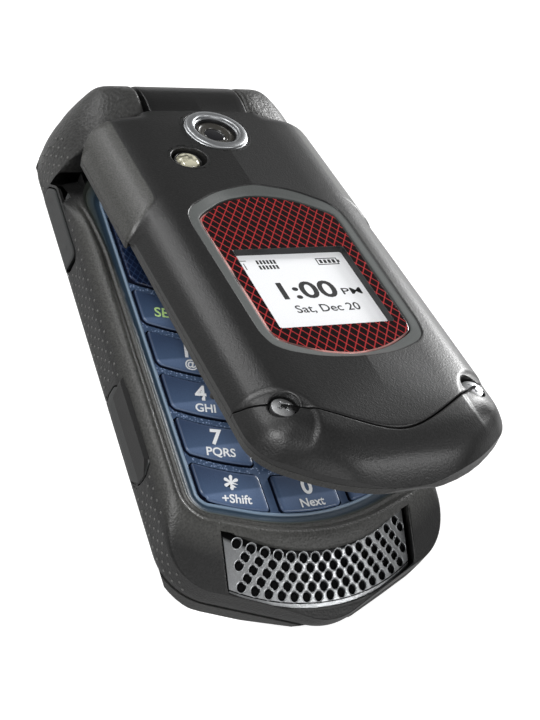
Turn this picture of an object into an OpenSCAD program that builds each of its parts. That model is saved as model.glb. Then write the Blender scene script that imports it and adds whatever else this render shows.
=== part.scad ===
// Rugged flip phone: a thick base with keypad and chin speaker, and a lid with an outer display.
// Frame: +X right, +Y towards the hinge, +Z up. The origin is the centre of the flat back face.
// The lid is drawn closed and then turned open about the hinge axis.

/* [Overall] */
// Length of the base, from the chin to the hinge
body_l = 102; // [98:0.5:123]
// Width of the base
body_w = 51.5; // [49:0.5:62]
// Height of the base's rim above the back face
base_h = 12.3; // [12:0.1:14.8]
// Thickness of the lid at its crest
lid_h = 8.1; // [7.8:0.1:9.8]
// Gap between the rim and the closed lid
lid_gap = 0.9; // [0.8:0.1:1.5]
// How much narrower the lid is than the base
lid_inset = 6.1; // [5:0.1:8]
// Angle that the lid stands open in the stored pose
lid_open = 15.2; // [5:0.1:60]

/* [Hinge] */
// Radius of the hinge barrels
hinge_r = 7.2; // [6.8:0.1:7.6]
// Width of the gap between the two knuckles of the base
knuckle_gap = 20.8; // [18:0.2:25]
// Clearance round the lid's neck and shoulders
hinge_clear = 0.3; // [0.25:0.05:0.5]
// Radius of the hinge shafts
pin_r = 1.6; // [1.3:0.1:2]
// Radial running clearance of the hinge shafts
pin_fit = 0.05; // [0.02:0.01:0.1]

/* [Shell] */
// Thickness of the base's side wall
wall = 1.4; // [1.1:0.1:1.7]
// Plan radius of the hinge end's corners
hinge_corner_r = 11; // [10:0.5:14]
// Plan radius of the chin's corners
chin_corner_r = 10; // [8:0.5:12]
// Height of the joint between the rear and the front housing
housing_split = 2.5; // [2.3:0.1:2.8]

/* [Keypad] */
// Width of the keypad deck
deck_w = 41; // [40:0.2:42]
// Distance from one row of keys to the next
row_pitch = 8.4; // [8.2:0.1:8.8]
// Length of a key along the phone
key_l = 6.7; // [6.3:0.1:6.9]
// Width of the middle column's keys
mid_key_w = 11.1; // [10.5:0.1:11.5]
// Gap between two columns of keys
column_gap = 2; // [1.8:0.1:2.3]
// Half the width over all three columns
keys_half_w = 18.4; // [17.5:0.1:19]
// Radius of the smile-shaped rows
row_r = 38; // [34:1:60]
// Gap round each key
key_gap = 0.3; // [0.2:0.05:0.4]
// Travel of a key
key_travel = 0.3; // [0.2:0.05:0.35]

/* [Chin speaker] */
// Half the width of the speaker grille
grille_half_w = 17.3; // [15:0.1:18]
// Diameter of a hole in the grille
grille_hole_d = 1.5; // [1.2:0.1:1.6]
// Distance between two holes in a row
grille_pitch = 2.1; // [2:0.1:2.6]

/* [Outer display] */
// Width of the outer display's recess
screen_w = 20.4; // [18:0.2:21]
// Length of the outer display's recess
screen_l = 18.9; // [17:0.1:19.5]
// Half the width of the display window
window_half_w = 12.7; // [12:0.1:13]

/* [Camera] */
// Outer radius of the camera ring
ring_r = 5.8; // [5:0.1:6]

/* [Battery] */
// Width of the battery
battery_w = 34; // [32:0.5:35]
// Length of the battery
battery_l = 50; // [46:0.5:51]
// Thickness of the battery
battery_t = 4.6; // [4:0.1:4.8]

/* [Hidden] */
half_w = body_w / 2;
end_y = body_l / 2;
chin_y = -body_l / 2;
lid_z0 = base_h + lid_gap;
lid_z1 = lid_z0 + lid_h;
lid_half_w = half_w - lid_inset / 2;
lid_tip_y = chin_y + 2.5;
hinge_y = end_y - hinge_r;
hinge_z = base_h + 1.3;
neck_half_w = knuckle_gap / 2 - 0.7;
cam_r = 3.2;
clear_r = hinge_r + hinge_clear;
shoulder_y = hinge_y - 5.5;
shoulder_proud = 1.1;
big = 200;
skin = 0.1;

// the base's layers, from the back up and from the deck down
cover_sink = 0.15;
cover_t = 1.3;
battery_z0 = cover_sink + cover_t + 0.15;
bay_roof_z = battery_z0 + battery_t + 0.15;
bay_roof_t = 0.7;
board_z0 = bay_roof_z + bay_roof_t + 0.15;
board_t = 0.8;
dome_t = 0.25;
deck_top = base_h - 2;
deck_t = 0.6;
deck_z0 = deck_top - deck_t;
key_z0 = deck_z0 - 0.35;
key_flange = 0.5;
key_rise = 0.6;
membrane_z1 = key_z0 - key_travel - 0.05;
membrane_z0 = board_z0 + board_t + dome_t;

// keypad places: the first row's top on the centre line, and the deck's ends
first_row_y = chin_y + 57;
deck_tip_y = chin_y + 15;
deck_end_y = hinge_y - clear_r - 3.2;
nav_y = first_row_y + 11.5;
nav_r = 8.6;
ok_r = 3.4;
soft_key_l = 14.6;

// battery bay and cover
bay_y = -2;
bay_gap = 0.2;
bay_l = battery_l + 2.2 + 2 * bay_gap;
cover_w = battery_w + 3.2;
cover_l = battery_l + 20;
cover_y = bay_y + 2;
latch_r = 3.2;
latch_y = cover_y + cover_l / 2 - latch_r - 1.6;
latch_tab = 0.6;

// chin: the grille lies on a cone, and the housing's front on a wider one
cone_y = chin_y + 35.7;
cone_z = base_h - 1.9;
grille_r0 = 26;
grille_slope = 7.6 / 4.4;
grille_drop = 4.4;
grille_t = 1; // measured level
mesh_d0 = grille_t + 0.1;
mesh_d1 = mesh_d0 + 0.25;
chin_cone_r = 35.9;
chin_cone_y = chin_y + 48;

// lid: places along the closed lid
split_z = lid_z0 + 1.2;
window_top_y = lid_tip_y + 62.4;
window_low_y = lid_tip_y + 22.3;
window_z = lid_z1 - 1.3;
window_t = 0.8;
screen_y = lid_tip_y + 38.65;
screen_z = window_z - 1.25;
camera_y = hinge_y - 12.1;
flash_pos = [-8.2, camera_y - 7.7];
flash_r = 2.9;
lid_screw_inset = 6.2;
lid_screw_x = lid_half_w - lid_screw_inset;
seam_low_y = lid_tip_y + 6.9;
seam_bend = 6;
seam_rise = 0.6;
seam_half_gap = 0.08;
lid_screw_z = lid_z1 - 2.6;
lid_board_z = lid_z0 + 3.1;
lid_cavity_z1 = window_z - window_t - 0.7;
neck_floor_z = hinge_z + 3;

// left and right side controls
rocker_y = end_y - 23;
rocker_l = 17;
rocker_z = [2.9, 8.6];
port_y = [chin_y + 27.5, chin_y + 44.5];
port_z = [3.2, 10.4];
side_key_y = end_y - 33;
usb_y = chin_y + 35.7;
proud = 0.35;

KEY_GRID = [
    ["send_key", -1, 0], ["clear_key", 0, 0], ["end_key", 1, 0],
    ["key_1", -1, 1], ["key_2", 0, 1], ["key_3", 1, 1],
    ["key_4", -1, 2], ["key_5", 0, 2], ["key_6", 1, 2],
    ["key_7", -1, 3], ["key_8", 0, 3], ["key_9", 1, 3],
    ["key_star", -1, 4], ["key_0", 0, 4], ["key_hash", 1, 4]
];

$fn = 48;

// ---- outlines ----

function arc(cx, cy, r, a0, a1, n = 8) =
    [for (i = [0:n]) let (a = a0 + (a1 - a0) * i / n) [cx + r * cos(a), cy + r * sin(a)]];

// right half of a rounded end: a tip arc, a straight flank and a corner arc, from the middle out
function end_half(w, tip_y, tip_r, flank, corner_r) =
    let (x2 = w - corner_r,
         offset2 = cos(flank) * -(tip_y + tip_r) + tip_r - corner_r,
         y2 = (sin(flank) * x2 - offset2) / cos(flank))
    concat(arc(0, tip_y + tip_r, tip_r, -90, -90 + flank, 6),
           arc(x2, y2, corner_r, -90 + flank, 0, 8));

// a whole outline or section from its right half, listed from the bottom to the top
function both_halves(h) =
    concat(h, [for (i = [len(h) - 1:-1:0]) if (h[i][0] > 0.001) [-h[i][0], h[i][1]]]);

// the base in plan, drawn in by d
module base_outline(d = 0) {
    polygon(both_halves(concat(
        end_half(half_w - d, chin_y + d, 11 - d, 22, chin_corner_r - d),
        arc(half_w - hinge_corner_r, end_y - hinge_corner_r, hinge_corner_r - d, 0, 90))));
}

// the keypad deck in plan, drawn in by d
module deck_outline(d = 0) {
    polygon(both_halves(concat(
        end_half(deck_w / 2 - d, deck_tip_y + d, row_r - d, 18, 4 - d),
        arc(deck_w / 2 - 5, deck_end_y - 5, 5 - d, 0, 90, 6))));
}

// the closed lid in plan, with the proud shoulders near the hinge, drawn in by d
module lid_outline(d = 0) {
    polygon(both_halves(concat(
        end_half(lid_half_w - 0.5 - d, lid_tip_y + d, 30 - d, 34, 8 - d),
        [[lid_half_w - d, lid_tip_y + 56.6],
         [lid_half_w + shoulder_proud - 0.2 - d, lid_tip_y + 58.4]],
        arc(lid_half_w + shoulder_proud - 8, shoulder_y - 8, 8 - d, 0, 90, 6))));
}

function seam_y(x) = seam_low_y + seam_rise * (sqrt(x * x + seam_bend * seam_bend) - seam_bend);
lid_screw_y = seam_y(lid_screw_x);

// the part of the plan below the seam between the two outer covers
module chin_region(shift) {
    polygon(concat([for (x = [-28:2:28]) [x, seam_y(x) + shift]], [[28, -big], [-28, -big]]));
}

// upper and lower edges of a key row, at x
function row_top(row, x) = first_row_y - row * row_pitch + x * x / (2 * row_r);

// outline of a key between x0 and x1, widened by w, with small corner cuts
function key_points(x0, x1, row, w) =
    let (c = 0.7, n = 4, a = x0 - w, b = x1 + w)
    concat(
        [for (i = [0:n]) let (x = a + c + (b - a - 2 * c) * i / n) [x, row_top(row, x) - key_l - w]],
        [[b, row_top(row, b) - key_l + c - w], [b, row_top(row, b) - c + w]],
        [for (i = [n:-1:0]) let (x = a + c + (b - a - 2 * c) * i / n) [x, row_top(row, x) + w]],
        [[a, row_top(row, a) - c + w], [a, row_top(row, a) - key_l + c - w]]);

function column_x(col) = col == 0 ? [-mid_key_w / 2, mid_key_w / 2]
    : col > 0 ? [mid_key_w / 2 + column_gap, keys_half_w]
    : [-keys_half_w, -mid_key_w / 2 - column_gap];

module grid_key_outline(col, row, w = 0) {
    polygon(key_points(column_x(col)[0], column_x(col)[1], row, w));
}

soft_x = [nav_r + 1.6, keys_half_w];

// outline of the tall key beside the navigation ring, on the right side
module soft_key_outline(w = 0) {
    low = [for (i = [0:4]) let (x = soft_x[0] - w + (soft_x[1] - soft_x[0] + 2 * w) * i / 4)
        [x, row_top(0, x) + row_pitch - key_l - w]];
    top_y = row_top(0, soft_x[1]) + soft_key_l + 1.5 + w;
    polygon(concat(low, [[soft_x[1] + w, top_y - 1], [soft_x[1] - 1 + w, top_y],
        [soft_x[0] + 1 - w, top_y], [soft_x[0] - w, top_y - 1]]));
}

// ---- solids that several nodes share ----

// extrudes a profile drawn in Y and Z across the phone
module across(half) {
    translate([-half, 0, 0]) rotate([90, 0, 90]) linear_extrude(2 * half) children();
}

// extrudes a profile drawn in X and Z along the phone
module along(y0, y1) {
    translate([0, y1, 0]) rotate([90, 0, 0]) linear_extrude(y1 - y0) children();
}

module slab(z0, z1) {
    translate([0, 0, z0]) linear_extrude(z1 - z0) children();
}

// the base's full outer form up to the rim, without knuckles
module base_form() {
    intersection() {
        slab(0, base_h) base_outline();
        along(-big, big) polygon(both_halves([
            [half_w - 4.4, 0], [half_w - 1.2, 1], [half_w, 3.6], [half_w - 0.2, base_h - 3.8],
            [half_w - 1.1, base_h - 1.5], [half_w - 2.8, base_h]]));
        across(big) polygon([
            [chin_y + 4.5, 0], [chin_y + 1.4, 1.4], [chin_y, 4.4], [chin_y, base_h],
            [end_y, base_h], [end_y - 0.5, base_h - 1.5], [end_y - 0.5, 4],
            [end_y - 1.9, 1.4], [end_y - 5, 0]]);
        union() {
            translate([0, chin_cone_y, 0])
                cylinder(h = base_h, r1 = chin_cone_r + base_h * grille_slope, r2 = chin_cone_r,
                         $fn = 96);
            translate([-big / 2, chin_cone_y, 0]) cube([big, big, base_h]);
        }
    }
}

// a barrel about the hinge axis, from x0 to x1
module barrel(r, x0, x1) {
    translate([x0, hinge_y, hinge_z]) rotate([0, 90, 0]) cylinder(h = x1 - x0, r = r, $fn = 64);
}

module knuckles() {
    intersection() {
        barrel(hinge_r, -half_w, half_w);
        slab(0, big) base_outline();
        along(0, big) polygon(both_halves([
            [half_w, 3], [half_w, hinge_z - 8], [half_w - 1.25, hinge_z - 2.6],
            [half_w - 4.25, hinge_z + 2.4], [half_w - 8.75, hinge_z + 5.9],
            [knuckle_gap / 2 - 0.5, hinge_z + hinge_r + 0.1]]));
    }
}

// space swept by the lid's neck between the knuckles
module neck_trough() {
    barrel(clear_r, -knuckle_gap / 2, knuckle_gap / 2);
    across(knuckle_gap / 2) polygon([[hinge_y, hinge_z - clear_r], [end_y + 10, hinge_z - clear_r + 2.6],
        [end_y + 10, big],
        [hinge_y, big]]);
    translate([-knuckle_gap / 2, hinge_y - clear_r, hinge_z]) cube([knuckle_gap, big, big]);
}

// a conical band parallel to the grille, between two distances inside its outer face,
// measured level; grow widens it at both ends and both sides
module grille_band(d0, d1, half, grow = 0) {
    h = grille_drop + 2 * grow;
    low = grille_r0 + (grille_drop + grow) * grille_slope;
    top = grille_r0 - grow * grille_slope;
    intersection() {
        translate([0, cone_y, cone_z - grille_drop - grow]) difference() {
            cylinder(h = h, r1 = low - d0, r2 = top - d0, $fn = 96);
            translate([0, 0, -skin]) cylinder(h = h + 2 * skin,
                r1 = low - d1 + skin * grille_slope, r2 = top - d1 - skin * grille_slope, $fn = 96);
        }
        block([-half - grow, -big, 0], [half + grow, cone_y, big]);
    }
}

// the lid's cross-section, with its sides proud by p
module lid_section(p) {
    polygon(both_halves([[lid_half_w - 0.3 + p, lid_z0], [lid_half_w + p, lid_z0 + 2],
        [lid_half_w - 1.7 + 1.7 * p, lid_z1 - 3.7], [lid_half_w - 4.7, lid_z1 - 1.7],
        [lid_half_w - 10.7, lid_z1 - 0.55], [0, lid_z1]]));
}

// where the shoulders stand proud, in plan
module shoulder_region() {
    for (s = [0, 1]) mirror([s, 0, 0]) polygon([
        [lid_half_w - 4.8, shoulder_y + 1], [lid_half_w - 4.8, lid_tip_y + 64.3],
        [lid_half_w - 3.7, lid_tip_y + 61.5], [lid_half_w + 3, lid_tip_y + 55.8],
        [lid_half_w + 3, shoulder_y + 1]]);
}

// the lid's full outer form, drawn closed, without the neck
module lid_form() {
    intersection() {
        slab(lid_z0, lid_z1 + 1) lid_outline();
        union() {
            along(-big, big) lid_section(0);
            intersection() {
                along(0, big) lid_section(shoulder_proud);
                slab(lid_z0, lid_z1 + 1) shoulder_region();
            }
        }
        across(big) polygon([
            [lid_tip_y + 0.4, lid_z0], [lid_tip_y, lid_z0 + 1], [lid_tip_y + 2, lid_z1 - 4.4],
            [lid_tip_y + 5.5, lid_z1 - 2], [lid_tip_y + 10.5, lid_z1 - 0.6],
            [lid_tip_y + 18, lid_z1], [shoulder_y - 8, lid_z1], [shoulder_y, lid_z1 - 0.6],
            [shoulder_y, lid_z0]]);
        difference() {
            translate([-big / 2, -big / 2, 0]) cube([big, big, big]);
            barrel(clear_r, -big, big);
        }
    }
}

// the neck from the shoulders to the barrel's top, in Y and Z
module neck_profile() {
    polygon([[shoulder_y - 2.5, lid_z0 + 1], [shoulder_y - 2.5, lid_z1 - 0.45],
        [shoulder_y, lid_z1 - 0.6], [hinge_y, hinge_z + hinge_r], [hinge_y, hinge_z],
        [hinge_y - clear_r, lid_z0 + 1]]);
}

module turned_lid() {
    translate([0, hinge_y, hinge_z]) rotate([-lid_open, 0, 0])
        translate([0, -hinge_y, -hinge_z]) children();
}

// a plain box from low corner to high corner
module block(low, high) {
    translate(low) cube(high - low);
}

module round_box(w, l, h, r) {
    linear_extrude(h) polygon(concat(
        arc(w / 2 - r, l / 2 - r, r, 0, 90, 4), arc(-w / 2 + r, l / 2 - r, r, 90, 180, 4),
        arc(-w / 2 + r, -l / 2 + r, r, 180, 270, 4), arc(w / 2 - r, -l / 2 + r, r, 270, 360, 4)));
}

// ---- base ----

housing_screw_places = [for (s = [-1, 1]) for (p = [[20.8, end_y - 24], [18.6, chin_y + 13.3]])
    [s * p[0], p[1]]];
post_z1 = board_z0 - 0.3;

// posts for the housing's screws, each with a rib to the side wall
module housing_posts() {
    for (p = housing_screw_places) {
        translate([p[0], p[1], 0]) cylinder(h = post_z1, r = 2.1, $fn = 32);
        translate([p[0] > 0 ? p[0] : -half_w + 0.5, p[1] - 0.7, 0])
            cube([half_w - 0.5 - abs(p[0]), 1.4, post_z1]);
    }
}

module rear_housing() {
    color("#2b2c2e") difference() {
        union() {
            intersection() {
                base_form();
                slab(0, housing_split - 0.1) square(big, center = true);
            }
            translate([0, bay_y + 1, 1]) round_box(battery_w + 2.6, bay_l + 2.2,
                bay_roof_z + bay_roof_t - 1, 1.5);
        }
        translate([0, cover_y, -skin]) round_box(cover_w + 0.3, cover_l + 0.3,
            battery_z0 + skin, 3.2);
        translate([0, bay_y + 1, 1]) round_box(battery_w + 2 * bay_gap, bay_l, bay_roof_z - 1, 1);
        translate([0, latch_y, 0]) cylinder(h = 2.1, r = latch_r + latch_tab + 0.3);
        for (p = housing_screw_places) translate([p[0], p[1], 0]) {
            translate([0, 0, -1]) cylinder(h = 1.9, r = 1.7, $fn = 24);
            cylinder(h = 4, r = 0.9, $fn = 24);
        }
    }
}

module front_housing() {
    color("#3a3b3d") difference() {
        union() {
            intersection() {
                base_form();
                slab(housing_split + 0.1, base_h) square(big, center = true);
            }
            intersection() {
                knuckles();
                slab(housing_split + 0.1, big) square(big, center = true);
            }
        }
        neck_trough();
        // keypad opening: a terraced valley, the deck's seat and the ledge under it
        slab(deck_z0, big) deck_outline();
        slab(deck_top + 0.3, big) deck_outline(-0.7);
        slab(deck_top + 1.1, big) deck_outline(-1.4);
        slab(membrane_z0 - 0.4, big) deck_outline(0.6);
        // hollow for the boards
        difference() {
            intersection() {
                slab(0, deck_z0 - 1.2) base_outline(wall);
                block([-big, chin_y + 12, 0], [big, hinge_y - clear_r - 1.2, big]);
            }
            housing_posts();
        }
        // chin hollow under the grille, and the grille's seat
        intersection() {
            slab(0, cone_z - grille_drop + 0.5) base_outline(wall + 0.8);
            block([-big, chin_y + 5.5, 0], [big, chin_y + 14, big]);
        }
        grille_band(-6, mesh_d1 + 0.1, grille_half_w, 0.1);
        grille_band(mesh_d1, mesh_d1 + 4, grille_half_w - 1.2);
        // bores for the hinge parts
        barrel(pin_r + pin_fit, -17, -knuckle_gap / 2 + 1);
        barrel(cam_r + pin_fit, knuckle_gap / 2 - 1, 19.6);
        // side openings
        block([-big, rocker_y - rocker_l / 2 - 0.3, rocker_z[0] - 0.3],
              [-half_w + 0.9, rocker_y + rocker_l / 2 + 0.3, rocker_z[1] + 0.3]);
        for (s = [-1, 1]) block([-half_w, rocker_y + s * 5 - 1.5, 4.3],
                                [-half_w + 3, rocker_y + s * 5 + 1.5, 7.2]);
        block([half_w - 0.9, side_key_y - 5.3, rocker_z[0] + 0.2], [big, side_key_y + 5.3, 8.1]);
        block([half_w - 3, side_key_y - 1.5, 4.3], [half_w, side_key_y + 1.5, 7.2]);
        port_cut();
        for (p = housing_screw_places) translate([p[0], p[1], 0])
            cylinder(h = 6.4, r = 0.72, $fn = 24);
    }
}

// recess for the rubber door, with a round end for its hinge, and the socket's mouth
module port_cut() {
    block([-big, port_y[0] - 0.25, port_z[0] - 0.25],
          [-half_w + 1.35, port_y[1] - 1.1, port_z[1] + 0.25]);
    translate([-half_w + 1.1, port_y[1] - 1.1, port_z[0] - 0.25])
        cylinder(h = port_z[1] - port_z[0] + 0.5, r = 1.4);
    block([-half_w - 1, port_y[1] - 1.2, port_z[0] - 0.25], [-half_w + 1.1, port_y[1] + 0.3, port_z[1] + 0.25]);
    block([-half_w, usb_y - 4.1, 4], [-half_w + 4, usb_y + 4.1, 7.3]);
}

module housing_seal() {
    color("#151515") difference() {
        slab(housing_split - 0.1, housing_split + 0.1) base_outline(1.1);
        slab(housing_split - 1, housing_split + 1) base_outline(2.3);
    }
}

module housing_screws() {
    color("#8b8d90") for (p = housing_screw_places) translate([p[0], p[1], 0]) difference() {
        union() {
            translate([0, 0, 0.3]) cylinder(h = 0.55, r = 1.5, $fn = 24);
            translate([0, 0, 0.3]) cylinder(h = 5.9, r = 0.7, $fn = 24);
        }
        for (a = [0, 90]) rotate([0, 0, a]) block([-0.9, -0.18, 0], [0.9, 0.18, 0.6]);
    }
}

module keypad_bezel() {
    color("#33496b") difference() {
        slab(deck_z0 + 0.02, deck_top) deck_outline(0.1);
        for (k = KEY_GRID) slab(0, big) grid_key_outline(k[1], k[2], key_gap);
        for (s = [0, 1]) mirror([s, 0, 0]) slab(0, big) soft_key_outline(key_gap);
        translate([0, nav_y, 0]) cylinder(h = big, r = nav_r + key_gap);
    }
}

module key_membrane() {
    color("#22304a") slab(membrane_z0 + 0.02, membrane_z1) deck_outline(1.9);
}

module dome_sheet() {
    color("#c8c9c4") slab(board_z0 + board_t, membrane_z0) difference() {
        deck_outline(2.6);
        translate([0, deck_end_y + 3]) square([16, 9], center = true);
    }
}

module main_board() {
    color("#1f5a3c") {
        slab(board_z0, board_z0 + board_t) difference() {
            deck_outline(1.7);
            for (s = [-1, 1]) translate([s * (deck_w / 2 - 1.7), 6]) circle(r = 1, $fn = 24);
        }
        // processor can and memory, under the board at the hinge end
        block([-9, bay_y + battery_l / 2 + 4.3, board_z0 - 2.2], [9, deck_end_y - 2.6, board_z0]);
    }
}

// staggered rows of holes for the grille, in plan, each row on an arc about the cone's axis
module grille_holes() {
    rows = 4;
    n = floor((grille_half_w - 1.2) / grille_pitch);
    for (row = [0:rows]) {
        r = grille_r0 + grille_slope * (0.75 + row * (grille_drop - 1.35) / rows) - grille_t / 2;
        for (i = [-n:n]) {
            x = (i + (row % 2) / 2) * grille_pitch;
            if (abs(x) < grille_half_w - 1)
                translate([x, cone_y - sqrt(r * r - x * x)]) circle(r = grille_hole_d / 2, $fn = 24);
        }
    }
}

module speaker_grille() {
    color("#c9cbcd") intersection() {
        grille_band(0, grille_t, grille_half_w);
        slab(0, base_h) difference() {
            square(big, center = true);
            grille_holes();
        }
    }
}

module grille_mesh() {
    color("#101010") grille_band(mesh_d0, mesh_d1, grille_half_w - 0.3);
}

module speakers() {
    color("#303236") for (s = [-1, 1]) translate([s * 7.6, chin_y + 11.4, 2.6])
        round_box(11, 7.4, 2.7, 2.5);
}

module vibration_motor() {
    color("#b9bbbe") translate([11.5, deck_end_y - 0.3, 4.6]) rotate([0, 90, 0]) {
        cylinder(h = 7, r = 1.9);
        cylinder(h = 7.4, r = 0.5, $fn = 24);
        translate([0, 0, 7.3]) difference() {
            cylinder(h = 2.4, r = 1.8);
            block([-3, 0, -1], [3, 3, 5]);
        }
    }
}

module battery() {
    color("#4a4d52") translate([0, bay_y - 0.1, battery_z0])
        round_box(battery_w, battery_l - 0.2, battery_t, 0.9);
}

module battery_contacts() {
    y0 = bay_y + battery_l / 2 + 0.1;
    color("#c8a550") {
        block([-6, y0 + 0.5, 2.4], [6, y0 + 1.9, bay_roof_z - 0.1]);
        for (x = [-4, 0, 4]) block([x - 0.6, y0 - 0.05, 3], [x + 0.6, y0 + 0.5, 4.6]);
    }
}

module card_holder() {
    color("#b4b6b9") block([-8, bay_y - battery_l / 2 - 8.6, 2.6], [7, bay_y - battery_l / 2 - 2.8, 4.1]);
}

module usb_connector() {
    y0 = usb_y - 3.7;
    color("#c2c4c7") {
        difference() {
            block([-half_w + 1.7, y0, 4.3], [-half_w + 7, y0 + 7.4, 7]);
            block([-half_w + 1.6, y0 + 0.35, 4.65], [-half_w + 6, y0 + 7.05, 6.65]);
        }
        block([-half_w + 2.4, y0 + 1.6, 5.9], [-half_w + 6.1, y0 + 5.8, 6.4]);
        block([-half_w + 5.9, y0 + 1, 6.9], [-half_w + 6.9, y0 + 6.4, board_z0]);
    }
}

module side_switches() {
    color("#9b9da0") {
        for (s = [-1, 1]) block([-half_w + 3.2, rocker_y + s * 5 - 1.6, 4.2],
                                [-half_w + 5.4, rocker_y + s * 5 + 1.6, board_z0]);
        block([half_w - 5.4, side_key_y - 1.6, 4.2], [half_w - 3.2, side_key_y + 1.6, board_z0]);
    }
}

module antenna() {
    color("#b98a4e") block([-19.5, deck_end_y - 0.6, 2.7], [-9.5, deck_end_y, 7.6]);
}

module hinge_cam() {
    color("#8d8f92") {
        barrel(cam_r, knuckle_gap / 2 + 0.1, 19.5);
        barrel(pin_r, 4, knuckle_gap / 2 + 0.2);
    }
}

module hinge_pin() {
    color("#a5a7aa") barrel(pin_r, -16.8, -4);
}

// ---- pieces that come off or move on the base ----

module battery_cover() {
    color("#313234") difference() {
        union() {
            translate([0, cover_y, cover_sink]) round_box(cover_w, cover_l, cover_t - 0.35, 3);
            translate([0, cover_y, cover_sink]) round_box(cover_w - 1.6, cover_l - 1.6, cover_t, 2.4);
        }
        translate([0, latch_y, 0]) cylinder(h = 3, r = latch_r + 0.1);
        // finger-grip grooves
        for (i = [0:4]) translate([0, cover_y - cover_l / 2 + 5 + i * 1.8, cover_sink])
            cube([16, 0.7, 0.6], center = true);
    }
}

module cover_seal() {
    color("#1c1c1c") translate([0, bay_y + 1, cover_sink + cover_t]) difference() {
        round_box(cover_w - 2, bay_l + 1.3, 0.1, 1.8);
        translate([0, 0, -1]) round_box(cover_w - 3, bay_l + 0.3, 3, 1.3);
    }
}

module cover_latch() {
    color("#6d6f72") translate([0, latch_y, cover_sink]) difference() {
        union() {
            cylinder(h = cover_t + 0.1, r = latch_r);
            translate([0, 0, cover_t + 0.05])
                round_box(2.4, 2 * (latch_r + latch_tab), 0.4, 1);
        }
        block([-0.5, -2.6, -1], [0.5, 2.6, 0.5]);
    }
}

module volume_rocker() {
    z = rocker_z;
    color("#2e2f31") {
        translate([-half_w - proud, rocker_y, z[0]]) linear_extrude(z[1] - z[0]) polygon([
            [0.3, -rocker_l / 2], [0, -rocker_l / 2 + 0.6], [0, -1.5], [0.35, 0], [0, 1.5],
            [0, rocker_l / 2 - 0.6], [0.3, rocker_l / 2], [0.9, rocker_l / 2], [0.9, -rocker_l / 2]]);
        for (s = [-1, 1]) block([-half_w + 0.5, rocker_y + s * 5 - 1, 4.8],
                                [-half_w + 2.85, rocker_y + s * 5 + 1, 6.7]);
        block([-half_w + 0.5, rocker_y - 1.2, 5], [-half_w + 0.85, rocker_y + 1.2, 6.5]);
    }
}

module side_key() {
    color("#2e2f31") {
        block([half_w - 0.5, side_key_y - 5, rocker_z[0] + 0.5], [half_w + proud, side_key_y + 5, 7.8]);
        block([half_w - 2.85, side_key_y - 1, 4.8], [half_w - 0.4, side_key_y + 1, 6.7]);
    }
}

module port_door() {
    z = port_z;
    pivot = [-half_w + 1.1, port_y[1] - 1.1];
    color("#37383a") {
        translate([pivot[0], pivot[1], z[0]]) cylinder(h = z[1] - z[0], r = 1.1);
        difference() {
            block([-half_w, port_y[0], z[0]], [-half_w + 1.1, pivot[1], z[1]]);
            // bevelled far corners
            for (m = [[z[0], 45], [z[1], 45]]) translate([-half_w - 1, port_y[0], m[0]])
                rotate([m[1], 0, 0]) translate([0, -1.4, -1.4]) cube([4, 2.8, 2.8]);
        }
        // plug that stops the socket
        block([-half_w + 1, usb_y - 3.1, 4.9], [-half_w + 2.3, usb_y + 3.1, 5.75]);
    }
}

// ---- keys ----

module key_solid(w) {
    slab(key_z0, key_z0 + 0.25) children(1);
    slab(key_z0, deck_top + key_rise) children(0);
}

module grid_key(col, row) {
    color("#3c5580") key_solid() {
        grid_key_outline(col, row);
        grid_key_outline(col, row, key_flange);
    }
}

module soft_key(side) {
    color("#1d3d78") mirror([side < 0 ? 1 : 0, 0, 0]) key_solid() {
        soft_key_outline();
        soft_key_outline(key_flange);
    }
}

module nav_ring() {
    color("#3c5580") translate([0, nav_y, 0]) difference() {
        union() {
            translate([0, 0, key_z0]) cylinder(h = 0.25, r = nav_r + key_flange);
            translate([0, 0, key_z0]) cylinder(h = deck_top + key_rise - key_z0, r = nav_r);
        }
        cylinder(h = big, r = ok_r + key_gap);
        translate([0, 0, key_z0 - 1]) cylinder(h = 1.6, r = ok_r + key_flange + key_gap);
    }
}

module ok_key() {
    color("#c2c6cc") translate([0, nav_y, key_z0]) {
        cylinder(h = 0.25, r = ok_r + key_flange);
        cylinder(h = deck_top + key_rise - key_z0, r = ok_r);
    }
}

// ---- lid, drawn closed ----

module window_outline(w) {
    x = window_half_w + w;
    polygon(both_halves([
        [0, window_low_y - w], [x * 0.45, window_low_y + 1 - w], [x - 1.8, window_low_y + 3.6 - w],
        [x - 0.3, window_low_y + 5], [x + 0.2, window_top_y - 6.6], [x - 0.6, window_top_y - 5.2 + w],
        [x * 0.5, window_top_y - 1.3 + w], [0, window_top_y + w]]));
}

// space over the outer display, wider than its recess by grow on each side, up to z1
module screen_space(grow, z1) {
    block([-screen_w / 2 - grow, screen_y - screen_l / 2 - grow, split_z],
          [screen_w / 2 + grow, screen_y + screen_l / 2 + grow, z1]);
}

// the hollow inside the lid
module lid_cavity() {
    intersection() {
        slab(split_z - 1, lid_cavity_z1) lid_outline(2.6);
        block([-big, lid_tip_y + 4.2, 0], [big, shoulder_y - 2.2, big]);
        along(-big, big) polygon(both_halves([[lid_half_w - 3.6, lid_z0],
            [lid_half_w - 3.6, lid_z1 - 5.2], [lid_half_w - 5, lid_z1 - 3.6],
            [lid_half_w - 8, lid_z1 - 2.6]]));
    }
}

module screw_pockets() {
    for (s = [-1, 1]) translate([s * lid_screw_x, lid_screw_y, 0]) {
        translate([0, 0, lid_screw_z - 0.8]) cylinder(h = 9, r = 2.2);
        translate([0, 0, lid_z0 - 1]) cylinder(h = 9, r = 0.72, $fn = 24);
    }
}

// posts under the lid's screws
module screw_posts() {
    for (s = [-1, 1]) translate([s * lid_screw_x, lid_screw_y, lid_z0 + 1.3])
        cylinder(h = lid_screw_z - lid_z0 - 2, r = 2.2);
}

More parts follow.
